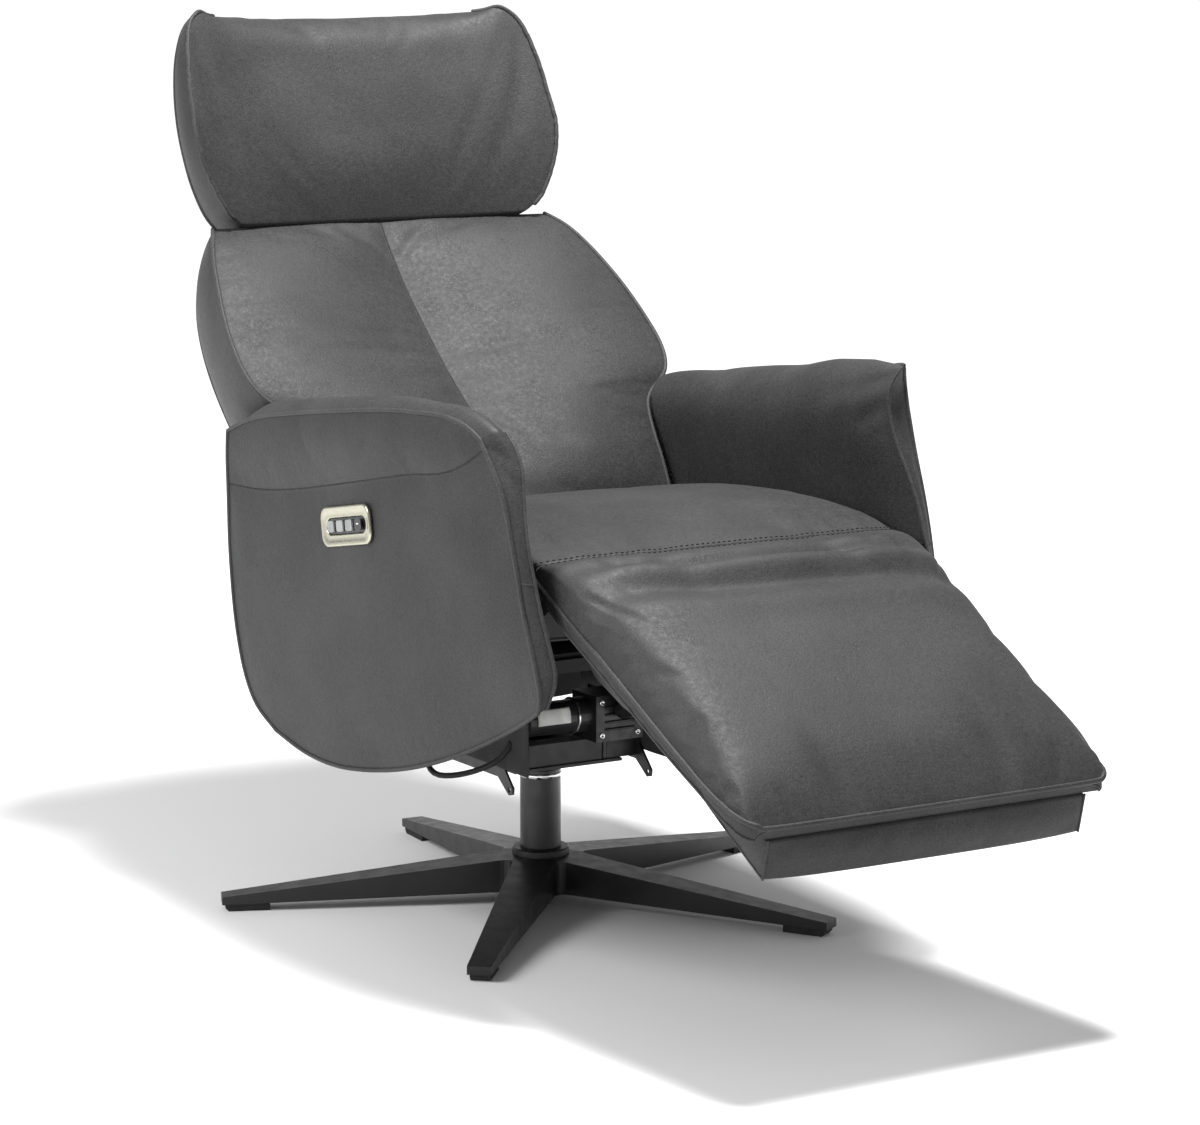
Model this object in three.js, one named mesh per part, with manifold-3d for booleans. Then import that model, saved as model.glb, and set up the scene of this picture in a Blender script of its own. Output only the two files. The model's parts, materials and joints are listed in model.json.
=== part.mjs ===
// A swivel recliner armchair: five-star base, powered seat mechanism, leg rest, back rest and head rest.
// Millimetres, +Z up, the sitter faces -Y. The design is laid out from the swivel column's axis on the
// floor, and the finished group is moved so that its origin is the middle of its footprint.
// Rest position: leg rest raised and back tilted, as for watching television.

import * as THREE from 'three';
import { mergeVertices } from 'three/addons/utils/BufferGeometryUtils.js';
import Module from 'manifold-3d';

const wasm = await Module();
wasm.setup();

// ---------------------------------------------------------------- driving dimensions
const GAP = 0.3;                      // clearance left between pieces that touch
const RIGHT = -1;                     // the sitter's right arm is on -X
const LEFT = 1;
const SIDES = [['left', LEFT], ['right', RIGHT]];

const base = {
  arms: 5, first: 13.06, tipR: 390, tipHalf: 14, rootR: 50, rootHalf: 26, fillet: 17,
  hubTop: 57, hubR: 35, hubBottom: 15, tipTop: 18.4, tipBottom: 8.5,
  glideR: [332, 386], glideHalf: 11.5, glideTop: 8,
};
const column = { r: 25, bore: 22, top: 163, collarR: 35, collarTop: 66, spindleR: 12, flangeR: 18 };
const beam = { y: 50, half: 14, bottom: 180, top: 207, wall: 2.5, x: [-95, 95] };
const knee = { y: -425, z: 470 };     // hinge of the leg rest
const hip = { y: 100, z: 430 };       // hinge of the back rest
const plate = { inner: 229.8, outer: 232.8 };   // steel seat side plates
const arm = { inner: 226.5, outer: 229.5 };     // steel hinge arms that move against those plates
const PIN_R = 5;
const backTilt = 47;                  // degrees from upright at rest
const headTilt = 23;
const head = { y: 418, z: 795 };      // hinge of the head rest
const seat = { half: 226, floor: 376.3 };
const rest = { slope: 0.432, y: -470, z: 405, half: 226 };   // underside plane of the leg rest's pad
const side = { padIn: 246, padOut: 266, boardOut: 278, panelOut: 305 };   // arm rest layers, along X
// The rods follow their levers at a constant ratio, so each slotted yoke leaves its pin some play.
// offset centres the leg rod's play over its travel.
const legDrive = { x: 47, y: -459, z: 376, tilt: 20, crank: 100, mid: 20, now: 37, play: 2.8, offset: 1.9 };
const backDrive = { x: -60, z: 327, crank: 105, now: 6.5, play: 1 };
const yokePin = { r: 4, wall: 4, half: 3.5 };
const rod = { r: 6, bore: 6.5 };
const panel = { y: -85, z: 499, tilt: 10, w: 120, h: 47, slotW: 96, slotH: 19 };
const button = { count: 4, pitch: 22.5, w: 16, h: 13 };

// ---------------------------------------------------------------- materials
function paint(color, roughness, metalness) {
  return () => new THREE.MeshStandardMaterial({ color, roughness, metalness });
}
const fabric = paint(0x4d4d4d, 0.85, 0);
const powder = paint(0x1d1d1e, 0.45, 0.6);
const steel = paint(0x202122, 0.5, 0.7);
const chrome = paint(0xc9cbcd, 0.15, 1);
const plastic = paint(0x161617, 0.55, 0);
const timber = paint(0xb18f63, 0.7, 0);
const nickel = paint(0xb9b4a4, 0.3, 0.9);
const keycap = paint(0xc4c6c6, 0.5, 0);
const rubber = paint(0x101010, 0.8, 0);

// ---------------------------------------------------------------- shape helpers
const chair = new THREE.Group();

function add(name, geometry, material, parent = chair) {
  const mesh = new THREE.Mesh(geometry, material());
  mesh.name = name;
  parent.add(mesh);
  return mesh;
}

// Outlines run anticlockwise and holes clockwise, as the extruder expects.
function outline(points, holes = []) {
  const vectors = points.map(([u, v]) => new THREE.Vector2(u, v));
  if (THREE.ShapeUtils.isClockWise(vectors)) {
    vectors.reverse();
  }
  const shape = new THREE.Shape(vectors);
  for (const hole of holes) {
    shape.holes.push(hole);
  }
  return shape;
}

function roundHole(u, v, r, sides = 16) {
  const points = arc(u, v, r, 360, 360 / sides, sides - 1);
  return new THREE.Path(points.map(([a, b]) => new THREE.Vector2(a, b)));
}

function boxHole(u0, u1, v0, v1) {
  const corners = [[u0, v0], [u0, v1], [u1, v1], [u1, v0]];
  return new THREE.Path(corners.map(([u, v]) => new THREE.Vector2(u, v)));
}

// An outline in the (y, z) plane, carried along X from x0 to x1.
function alongX(shape, x0, x1, curveSegments = 8) {
  const geometry = new THREE.ExtrudeGeometry(shape, { depth: x1 - x0, bevelEnabled: false, curveSegments });
  const axes = new THREE.Matrix4().makeBasis(
    new THREE.Vector3(0, 1, 0), new THREE.Vector3(0, 0, 1), new THREE.Vector3(1, 0, 0));
  return geometry.applyMatrix4(axes).translate(x0, 0, 0);
}

// An outline in the (x, z) plane, carried along Y from y0 to y1.
function alongY(shape, y0, y1, curveSegments = 8) {
  const geometry = new THREE.ExtrudeGeometry(shape, { depth: y1 - y0, bevelEnabled: false, curveSegments });
  return geometry.rotateX(Math.PI / 2).translate(0, y1, 0);
}

// An outline in the (x, y) plane, carried up from z0 to z1.
function alongZ(shape, z0, z1, curveSegments = 8) {
  const geometry = new THREE.ExtrudeGeometry(shape, { depth: z1 - z0, bevelEnabled: false, curveSegments });
  return geometry.translate(0, 0, z0);
}

function block(x, y, z) {
  const geometry = new THREE.BoxGeometry(x[1] - x[0], y[1] - y[0], z[1] - z[0]);
  return geometry.translate((x[0] + x[1]) / 2, (y[0] + y[1]) / 2, (z[0] + z[1]) / 2);
}

// A profile of (radius, height) pairs turned about Z.
function turned(profile, segments = 32) {
  const points = profile.map(([r, z]) => new THREE.Vector2(r, z));
  return new THREE.LatheGeometry(points, segments).rotateX(Math.PI / 2);
}

function ring(inner, outer, z0, z1, segments = 32) {
  return turned([[inner, z0], [outer, z0], [outer, z1], [inner, z1], [inner, z0]], segments);
}

// A turned piece laid with its axis along Y or X instead of Z.
function layAlongY(geometry) {
  return geometry.rotateX(-Math.PI / 2);
}

function layAlongX(geometry) {
  return geometry.rotateY(Math.PI / 2);
}

// A range across X on the sitter's left, or its mirror image on the right.
function across(hand, from, to) {
  return hand === LEFT ? [from, to] : [-to, -from];
}

// A round bar with its axis along X or Y, through the point at.
function bar(axis, r, from, to, at, segments = 16) {
  const geometry = new THREE.CylinderGeometry(r, r, to - from, segments);
  const middle = (from + to) / 2;
  if (axis === 'x') {
    return geometry.rotateZ(Math.PI / 2).translate(middle, at[0], at[1]);
  }
  return geometry.translate(at[0], middle, at[1]);
}

// Points of a round end: an arc about (u, v), from one angle to the other in degrees.
function arc(u, v, r, from, to, steps = 6) {
  const points = [];
  for (let i = 0; i <= steps; i += 1) {
    const a = THREE.MathUtils.degToRad(from + (to - from) * i / steps);
    points.push([u + r * Math.cos(a), v + r * Math.sin(a)]);
  }
  return points;
}

function roundedRect(w, h, r) {
  const x = w / 2 - r;
  const y = h / 2 - r;
  return [...arc(x, y, r, 0, 90, 4), ...arc(-x, y, r, 90, 180, 4),
    ...arc(-x, -y, r, 180, 270, 4), ...arc(x, -y, r, 270, 360, 4)];
}

function solid(geometry) {
  const bare = geometry.index ? geometry.clone() : geometry;
  bare.deleteAttribute('normal');
  bare.deleteAttribute('uv');
  const merged = mergeVertices(bare, 1e-4);
  return new wasm.Manifold(new wasm.Mesh({
    numProp: 3,
    vertProperties: new Float32Array(merged.attributes.position.array),
    triVerts: new Uint32Array(merged.index.array),
  }));
}

function shell(body) {
  const mesh = body.getMesh();
  const geometry = new THREE.BufferGeometry();
  geometry.setAttribute('position', new THREE.BufferAttribute(mesh.vertProperties, 3));
  geometry.setIndex(new THREE.BufferAttribute(mesh.triVerts, 1));
  geometry.computeVertexNormals();
  return geometry;
}

function joined(...geometries) {
  return shell(geometries.map(solid).reduce((whole, piece) => whole.add(piece)));
}

// ---------------------------------------------------------------- five-star base
function baseHalfWidth(r) {
  return base.rootHalf + (base.tipHalf - base.rootHalf) * (r - base.rootR) / (base.tipR - base.rootR);
}

function turnedPoint(x, y, degrees) {
  const a = THREE.MathUtils.degToRad(degrees);
  return [x * Math.cos(a) - y * Math.sin(a), x * Math.sin(a) + y * Math.cos(a)];
}

function makeBase() {
  const step = 360 / base.arms;
  const slope = (base.rootHalf - base.tipHalf) / (base.tipR - base.rootR);
  const tangent = Math.tan(THREE.MathUtils.degToRad(step / 2));
  const crotchR = (base.rootHalf + slope * base.rootR) / (tangent + slope);
  const plan = new THREE.Shape();
  for (let i = 0; i < base.arms; i += 1) {
    const turn = i * step;
    const near = crotchR + base.fillet;
    const start = turnedPoint(near, -baseHalfWidth(near), turn);
    if (i === 0) {
      plan.moveTo(...start);
    } else {
      plan.lineTo(...start);
    }
    plan.lineTo(...turnedPoint(base.tipR, -base.tipHalf, turn));
    plan.lineTo(...turnedPoint(base.tipR, base.tipHalf, turn));
    plan.lineTo(...turnedPoint(near, baseHalfWidth(near), turn));
    const crotch = turnedPoint(crotchR, baseHalfWidth(crotchR), turn);
    plan.quadraticCurveTo(...crotch, ...turnedPoint(near, -baseHalfWidth(near), turn + step));
  }
  const corner = 1 / Math.cos(THREE.MathUtils.degToRad(step / 2));
  const far = base.tipR + 10;
  const profile = [[0, base.hubBottom], [60 * corner, base.hubBottom], [far * corner, base.tipBottom - 0.2],
    [far * corner, base.tipTop - 1], [base.hubR * corner, base.hubTop], [0, base.hubTop]];
  const envelope = turned(profile, base.arms).rotateZ(THREE.MathUtils.degToRad(90 + step / 2));
  const star = solid(alongZ(plan, 0, base.hubTop + 5, 6)).intersect(solid(envelope));
  add('star_base', shell(star).rotateZ(THREE.MathUtils.degToRad(base.first)), powder);

  const [r0, r1] = base.glideR;
  for (let i = 0; i < base.arms; i += 1) {
    const foot = outline([[r0, 0], [r1 - 4, 0], [r1, 4], [r1, base.glideTop], [r0, base.glideTop]]);
    const glide = alongY(foot, -base.glideHalf, base.glideHalf);
    add(`glide_${i + 1}`, glide.rotateZ(THREE.MathUtils.degToRad(base.first + i * step)), rubber);
  }

  const floor = base.hubTop + GAP;
  const lip = 1.5;
  add('column_collar', turned([[column.r + GAP, floor], [column.collarR, floor],
    [column.collarR, column.collarTop - lip], [column.collarR - lip, column.collarTop],
    [column.r + GAP, column.collarTop], [column.r + GAP, floor]], 48), powder);
  add('column_tube', ring(column.bore, column.r, floor, column.top, 48), powder);
  add('column_bearing', ring(column.spindleR + GAP, column.bore - GAP, 135, column.top - 1), plastic);
}

// ---------------------------------------------------------------- swivel carriage
function makeSwivel() {
  const flange = column.top + 0.5;
  const neck = beam.bottom - 8;
  add('spindle', turned([[0, 62], [column.spindleR, 62], [column.spindleR, flange], [column.flangeR, flange],
    [column.flangeR, neck - 2], [column.flangeR - 3, neck], [0, neck]]), chrome);
  const boss = turned([[0, neck + GAP], [23, neck + GAP], [25, 178], [0, 178]]);
  const top = beam.bottom - GAP;
  add('swivel_plate', joined(boss, block([-75, 75], [-68, 68], [176, top])), steel);

  const inner = beam.half - beam.wall;
  for (const [name, y] of [['cross_beam_front', -beam.y], ['cross_beam_rear', beam.y]]) {
    const section = outline([[y - beam.half, beam.bottom], [y + beam.half, beam.bottom],
      [y + beam.half, beam.top], [y - beam.half, beam.top]],
    [boxHole(y - inner, y + inner, beam.bottom + beam.wall, beam.top - beam.wall)]);
    add(name, alongX(section, ...beam.x), steel);
  }
  // risers: end plates of the beams, with holed ears in front, that carry the seat frame
  const riser = outline([[-66, 176], [-92, 158], [-100, 160], [-101, 168], [-74, 196], [-70, 230],
    [-150, 330], [-150, 354.7], [48, 354.7], [48, 330], [68, 230], [68, 176]],
  [roundHole(-93, 165, 3.2), roundHole(0, 290, 28), boxHole(-46, 46, 222, 250)]);
  const outerFace = beam.x[1] + GAP;
  add('riser_left', alongX(riser, outerFace, outerFace + 3), steel);
  add('riser_right', alongX(riser, -outerFace - 3, -outerFace), steel);
}

// ---------------------------------------------------------------- seat frame and cushion
function makeSeat() {
  const frameHalf = plate.inner - 0.5;
  add('seat_board', block([-frameHalf, frameHalf], [-340, 50], [355, 370]), timber);
  add('seat_webbing', block([-frameHalf + 6, frameHalf - 6], [-334, 34], [370.3, seat.floor - GAP]), plastic);

  add('seat_cushion', alongX(outline([[-352, seat.floor], [40, seat.floor], [40, 490], [-150, 508], [-330, 506],
    [-404, 497], [-404, 462], [-354, 403]]), -seat.half, seat.half), fabric);
  add('front_valance', alongX(outline([[-404.8, 461.4], [-354.8, 402.4], [-357.8, 399.8], [-407.8, 458.8]]),
    -seat.half, seat.half), fabric);

  const sidePlate = outline([...arc(knee.y, knee.z, 11, 60, 200, 6), [-352, 392], [-345, 345],
    [60, 345], [118, 400], ...arc(hip.y, hip.z, 18, -20, 160, 8), [60, 398], [40, 388], [-325, 388]]);
  for (const [name, hand] of SIDES) {
    // each plate carries the two shoulder studs that the moving arms turn on
    const stud = across(hand, arm.inner - 0.2, plate.outer + 1.5);
    add(`seat_side_plate_${name}`, joined(alongX(sidePlate, ...across(hand, plate.inner, plate.outer)),
      bar('x', PIN_R, ...stud, [knee.y, knee.z]), bar('x', PIN_R, ...stud, [hip.y, hip.z])), steel);
  }
}

// ---------------------------------------------------------------- arm rests and their control panel
function armOutline(inset) {
  const points = [[225, 573], [170, 590], [20, 617], [-90, 634], [-200, 648], [-290, 652], [-335, 645],
    [-370, 624], [-400, 593], [-418, 545], [-434, 488], [-456, 412], [-470, 362], [-462, 342],
    [-440, 328], [-370, 296], [-268, 256], [-134, 219], [0, 205], [107, 217], [173, 249],
    [207, 317], [222, 414], [227, 500]];
  const centre = [-110, 440];
  const shrink = 1 - inset / 300;
  return outline(points.map(([y, z]) => [
    centre[0] + (y - centre[0]) * shrink,
    centre[1] + (z - centre[1]) * shrink,
  ]));
}

function makeArmRests() {
  const pad = outline([[218, 575], [165, 598], [20, 628], [-100, 651], [-200, 664], [-290, 666], [-345, 650],
    [-385, 610], [-404, 560], [-422, 490], [-430, 440], [-395, 392], [100, 392], [215, 440]]);
  for (const [name, hand] of SIDES) {
    add(`arm_pad_${name}`, alongX(pad, ...across(hand, side.padIn, side.padOut)), fabric);
    add(`arm_board_${name}`, alongX(armOutline(14), ...across(hand, side.padOut + GAP, side.boardOut)), timber);
    add(`arm_panel_${name}`, alongX(armOutline(0), ...across(hand, side.boardOut + GAP, side.panelOut)), fabric);
    const spacer = block(across(hand, plate.outer + GAP, side.padOut), [-300, 40], [352, 380]);
    add(`arm_spacer_${name}`, spacer, timber);
  }
}

function makeControls() {
  const keypad = new THREE.Group();
  keypad.position.set(RIGHT * (side.panelOut + GAP), panel.y, panel.z);
  keypad.rotation.x = THREE.MathUtils.degToRad(-panel.tilt);
  chair.add(keypad);
  const slot = new THREE.Path(roundedRect(panel.slotW, panel.slotH, panel.slotH / 2 - 0.01).reverse()
    .map(([u, v]) => new THREE.Vector2(u, v)));
  const rim = outline(roundedRect(panel.w, panel.h, 14), [slot]);
  add('control_bezel', alongX(rim, -5, 0), nickel, keypad);
  const bed = roundedRect(panel.slotW - 1, panel.slotH - 1, (panel.slotH - 1) / 2 - 0.01);
  add('control_bed', alongX(outline(bed), -2, 0), plastic, keypad);
  for (let i = 0; i < button.count; i += 1) {
    const y = (i - (button.count - 1) / 2) * -button.pitch;
    const cap = outline(roundedRect(button.w, button.h, 3).map(([u, v]) => [u + y, v]));
    const colour = i === button.count - 1 ? plastic : keycap;
    add(`button_${i + 1}`, alongX(cap, -6.2, -4), colour, keypad);
  }
}

// ---------------------------------------------------------------- leg rest
function underside(y) {
  return rest.z - rest.slope * (rest.y - y);
}

function makeLegRest() {
  const lift = 16;
  add('legrest_cushion', alongX(outline([[-438, 486], [-500, 470], [-600, 412], [-700, 356], [-790, 302],
    [-812, 285], [-810, underside(-810) + lift], [-512, underside(-512) + lift], [-500, 418], [-447, 457]]),
  -rest.half, rest.half), fabric);

  const plane = Math.atan(rest.slope);
  const board = new THREE.Group();
  board.position.set(0, rest.y, rest.z);
  board.rotation.x = plane;
  chair.add(board);
  const cosine = Math.cos(plane);
  const rear = -33 / cosine;
  const front = -328 / cosine;
  const wide = arm.inner - GAP;
  const notch = rear - 66;
  add('legrest_board', alongZ(outline([[-wide, rear], [-wide, front], [wide, front], [wide, rear],
    [legDrive.x + 7, rear], [legDrive.x + 7, notch], [legDrive.x - 7, notch], [legDrive.x - 7, rear]]), 0, 12),
  timber, board);

  add('legrest_box', alongX(outline([[-535, underside(-535) - GAP], [-803, underside(-803) - GAP], [-797, 222],
    [-789, 218], [-540, 362]]), -205, 205), fabric);

  const hingeArm = outline([...arc(knee.y, knee.z, 11, -60, 130, 8), [-520, 402], [-600, 363], [-598, 352],
    [-560, 362], [-505, 384]], [roundHole(knee.y, knee.z, PIN_R + GAP)]);
  add('legrest_arm_left', alongX(hingeArm, arm.inner, arm.outer), steel);
  add('legrest_arm_right', alongX(hingeArm, -arm.outer, -arm.inner), steel);

  // fork with a cross pin that the actuator's slotted yoke pushes
  const now = THREE.MathUtils.degToRad(legDrive.now);
  const pin = [knee.y - legDrive.crank * Math.sin(now), knee.z - legDrive.crank * Math.cos(now)];
  const cheek = outline([...arc(...pin, 8, -90, 80, 6), [-504, underside(-504) - GAP],
    [-534, underside(-534) - GAP], [-534, underside(-534) - 4]]);
  const x = legDrive.x;
  add('legrest_fork', joined(alongX(cheek, x - 11.5, x - 7.5), alongX(cheek, x + 7.5, x + 11.5),
    bar('x', yokePin.r, x - 11, x + 11, pin)), steel);
}

// ---------------------------------------------------------------- linear actuators
// A plate with a slot from low to high that holds a cross pin, with the given play fore and aft.
function slottedYoke(low, high, play) {
  const clear = yokePin.r + play;
  const edge = clear + yokePin.wall;
  const plan = outline([[-edge, low - yokePin.wall], [edge, low - yokePin.wall],
    [edge, high + yokePin.wall], [-edge, high + yokePin.wall]], [boxHole(-clear, clear, low, high)]);
  return alongX(plan, -yokePin.half, yokePin.half);
}

function makeLegActuator() {
  const axis = new THREE.Group();
  axis.position.set(legDrive.x, legDrive.y, legDrive.z);
  axis.rotation.x = THREE.MathUtils.degToRad(-legDrive.tilt);
  chair.add(axis);
  const ahead = legDrive.crank * Math.sin(THREE.MathUtils.degToRad(legDrive.now - legDrive.mid));
  const centre = legDrive.offset - ahead;
  const rodStart = centre + yokePin.r + legDrive.play + 1;
  const yoke = slottedYoke(-5, 30.2, legDrive.play).translate(0, centre, 0);
  add('leg_drive_rod', joined(yoke, bar('y', rod.r, rodStart, 250, [0, 0])), chrome, axis);
  add('leg_drive_tube', layAlongY(ring(rod.bore, 12, 80, 366, 24)), steel, axis);
  add('leg_gearbox', block([14, 80], [-108, -52], [212, 268]), plastic);
  const motor = turned([[0, 0], [17, 0], [20, 3], [20, 68], [21.5, 69], [21.5, 88.7], [0, 88.7]], 32);
  add('leg_motor', layAlongX(motor).translate(-75, -80, 243), plastic);
}

function makeBackActuator() {
  const now = THREE.MathUtils.degToRad(backDrive.now);
  const pinY = hip.y - backDrive.crank * Math.sin(now);
  const rodEnd = -yokePin.r - backDrive.play - 1;
  const yoke = slottedYoke(-7, 8.5, backDrive.play);
  const { x, z } = backDrive;
  add('back_drive_rod', joined(yoke, bar('y', rod.r, -108, rodEnd, [0, 0])).translate(x, pinY, z), chrome);
  add('back_drive_tube', layAlongY(ring(rod.bore, 13, -59.7, 40, 24)).translate(x, 0, z), steel);
  add('back_gearbox', block([x - 24, x + 22], [-112, -60], [303, 351]), plastic);
  const motor = turned([[0, 0], [18, 0], [18, 76], [15, 80], [0, 80]], 32);
  add('back_motor', layAlongX(motor).translate(x + 22.3, -86, z), plastic);
}

function makeWiring() {
  add('control_box', block([-88, -12], [0, 95], [beam.top + GAP, 246]), plastic);
  const route = [[-76.5, -80, 240], [-84, -82, 238], [-98, -100, 226], [-112, -94, 204], [-140, -62, 184],
    [-158, -20, 178], [-150, 14, 194], [-125, 26, 222], [-106, 24, 235], [-97, 22, 235], [-89, 22, 235]];
  const path = new THREE.CatmullRomCurve3(route.map((p) => new THREE.Vector3(...p)));
  const section = new THREE.Shape().absarc(0, 0, 3.5, 0, 2 * Math.PI);
  add('motor_cable', new THREE.ExtrudeGeometry(section, { steps: 28, extrudePath: path, curveSegments: 8 }), rubber);
}

// ---------------------------------------------------------------- back rest
function mirrored(halfOutline) {
  return [...halfOutline, ...halfOutline.map(([x, z]) => [-x, z]).reverse()];
}

function makeBackRest() {
  const back = new THREE.Group();
  back.position.set(0, hip.y, hip.z);
  back.rotation.x = THREE.MathUtils.degToRad(-backTilt);
  chair.add(back);
  // in this group +Z runs up the back rest and -Y faces the sitter
  const ear = outline([...arc(0, 0, 18, 180, 360, 8), [12, 130], [0, 130]], [roundHole(0, 0, PIN_R + GAP)]);
  add('back_frame', joined(block([-226.8, 226.8], [0, 12], [15, 440]), alongX(ear, arm.inner, arm.outer),
    alongX(ear, -arm.outer, -arm.inner)), timber, back);

  const front = mirrored([[222, 30], [224, 165], [250, 212], [290, 222], [296, 250], [289, 312], [278, 358],
    [267, 404], [254, 438], [239, 462]]);
  add('back_cushion', alongY(outline(front), -72, -GAP), fabric, back);
  add('back_cover', alongX(outline([[12.3, 30], [12.3, 448], [24, 446], [44, 380], [62, 300], [72, 200],
    [73, 110], [62, 46], [44, 30]]), -222, 222), fabric, back);

  // lever below the hinge: two cheeks and a cross pin that the actuator's slotted yoke pulls
  const lean = THREE.MathUtils.degToRad(backTilt - backDrive.now);
  const pin = [backDrive.crank * Math.sin(lean), -backDrive.crank * Math.cos(lean)];
  const cheek = outline([[0, 14.7], [0, 0], ...arc(...pin, 9, 200, 380, 8), [14, 0], [12, 14.7]]);
  const { x } = backDrive;
  add('back_lever', joined(alongX(cheek, x - 11, x - 7), alongX(cheek, x + 7, x + 11),
    bar('x', yokePin.r, x - 10, x + 10, pin), block([x - 8, x + 8], [1, 11], [6, 14])), steel, back);

  // straps that rise from the frame and hold the head rest's hinge pins
  const h = turnedPoint(head.y - hip.y, head.z - hip.z, backTilt);
  const strap = outline([[0, 440.3], [12, 440.3], [12, 478], ...arc(...h, 11, 70, 250, 8), [0, 466]]);
  for (const [name, hand] of SIDES) {
    add(`headrest_strap_${name}`, joined(alongX(strap, ...across(hand, 118, 122)),
      bar('x', 4, ...across(hand, 117, 127.5), h)), steel, back);
  }
}

// ---------------------------------------------------------------- head rest
function makeHeadRest() {
  const group = new THREE.Group();
  group.position.set(0, head.y, head.z);
  group.rotation.x = THREE.MathUtils.degToRad(-headTilt);
  chair.add(group);
  const ear = outline([...arc(0, 0, 10, 150, 360, 10), [10, 60], [0, 60], [0, 12]], [roundHole(0, 0, 4.3)]);
  add('headrest_frame', joined(block([-205, 205], [0, 10], [16, 235]), alongX(ear, 122.3, 126.3),
    alongX(ear, -126.3, -122.3)), timber, group);
  const front = mirrored([[226, 14], [245, 60], [257, 108], [254, 170], [240, 240], [230, 272], [222, 275]]);
  add('headrest_cushion', alongY(outline(front), -52, -GAP), fabric, group);
  add('headrest_cover', alongX(outline([[10.3, 14], [10.3, 266], [28, 262], [42, 226], [46, 130], [40, 50],
    [28, 14]]), -226, 226), fabric, group);
}

// ---------------------------------------------------------------- assembly
makeBase();
makeSwivel();
makeSeat();
makeArmRests();
makeControls();
makeLegRest();
makeLegActuator();
makeBackActuator();
makeWiring();
makeBackRest();
makeHeadRest();

chair.updateMatrixWorld(true);
const footprint = new THREE.Box3().setFromObject(chair, true);
const middle = footprint.getCenter(new THREE.Vector3());
chair.position.set(-middle.x, -middle.y, -footprint.min.z);

export default chair;
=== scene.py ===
"""The looks of the recliner armchair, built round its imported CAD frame. Metres, in the row frame."""
import json
import math

import bmesh
import bpy
import numpy as np
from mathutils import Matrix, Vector
from mathutils.bvhtree import BVHTree
from mathutils.kdtree import KDTree


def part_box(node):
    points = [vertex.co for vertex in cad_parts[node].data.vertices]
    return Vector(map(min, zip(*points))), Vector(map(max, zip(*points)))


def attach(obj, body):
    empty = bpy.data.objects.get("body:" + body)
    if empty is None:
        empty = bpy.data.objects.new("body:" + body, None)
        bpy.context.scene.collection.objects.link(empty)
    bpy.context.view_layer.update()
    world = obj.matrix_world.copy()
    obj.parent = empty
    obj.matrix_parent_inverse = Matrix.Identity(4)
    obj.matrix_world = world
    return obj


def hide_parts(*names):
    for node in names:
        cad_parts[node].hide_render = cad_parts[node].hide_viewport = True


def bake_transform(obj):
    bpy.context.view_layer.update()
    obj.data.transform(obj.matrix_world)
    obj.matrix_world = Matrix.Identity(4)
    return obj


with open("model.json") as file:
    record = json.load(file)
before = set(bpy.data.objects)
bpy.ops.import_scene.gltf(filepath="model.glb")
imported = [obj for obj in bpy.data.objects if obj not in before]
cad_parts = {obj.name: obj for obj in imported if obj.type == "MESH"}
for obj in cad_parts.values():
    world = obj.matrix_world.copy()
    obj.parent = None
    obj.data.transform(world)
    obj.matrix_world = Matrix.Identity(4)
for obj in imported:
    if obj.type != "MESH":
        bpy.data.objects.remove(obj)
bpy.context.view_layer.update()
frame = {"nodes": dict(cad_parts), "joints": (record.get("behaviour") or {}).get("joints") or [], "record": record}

# -------- places, taken from the frame
JOINTS = {joint["name"]: joint for joint in frame["joints"]}
COLUMN = np.array(JOINTS["swivel"]["pos_m"]) * (1, 1, 0)      # the swivel column's axis on the floor
KNEE = np.array(JOINTS["leg_rest_hinge"]["pos_m"]) - COLUMN
LEFT, RIGHT = 1, -1                                           # the sitter's sides: +X and -X

# -------- driving dimensions
LEG_HALF = .2375      # half of the leg pad's width
PIPING = .0027        # the main welts' radius
EDGE_WELT = .0021     # the arms' inner welts
REAR_SEAM = .0018     # the back rest's rear seams
HEM = .0016           # the leg border's hem
BOARD_THICK = .0142   # the leg rest board and a little air
SEAM_SHADE_CORD = .0011   # the dark cord of painted shade sunk along a plain seam's groove
STITCH_GAP = .0055    # from the knee seam to each row of topstitching
SPACING = .008        # between the points of a padded panel
SETTLE_FRAMES = 20     # of each cloth simulation
BACK_TILT = 47         # degrees from level
HEAD_TILT = 23         # degrees from upright
CLOTH_THICK = .0012


def from_column(points):
    """Points given from the swivel column's axis on the floor, moved to the row frame."""
    return np.asarray(points, float) + COLUMN


def tilted(joint, degrees):
    """Turns (across, up, out) on a tilted pad into the row frame. Out faces the sitter."""
    pivot, lean = np.array(JOINTS[joint]["pos_m"]), math.radians(degrees)
    axes = np.array([[1, 0, 0], [0, math.sin(lean), math.cos(lean)], [0, -math.cos(lean), math.sin(lean)]])
    return lambda points: pivot + np.asarray(points, float) @ axes


on_back = tilted("back_rest_hinge", BACK_TILT)
on_head = tilted("head_rest_hinge", HEAD_TILT)


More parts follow.
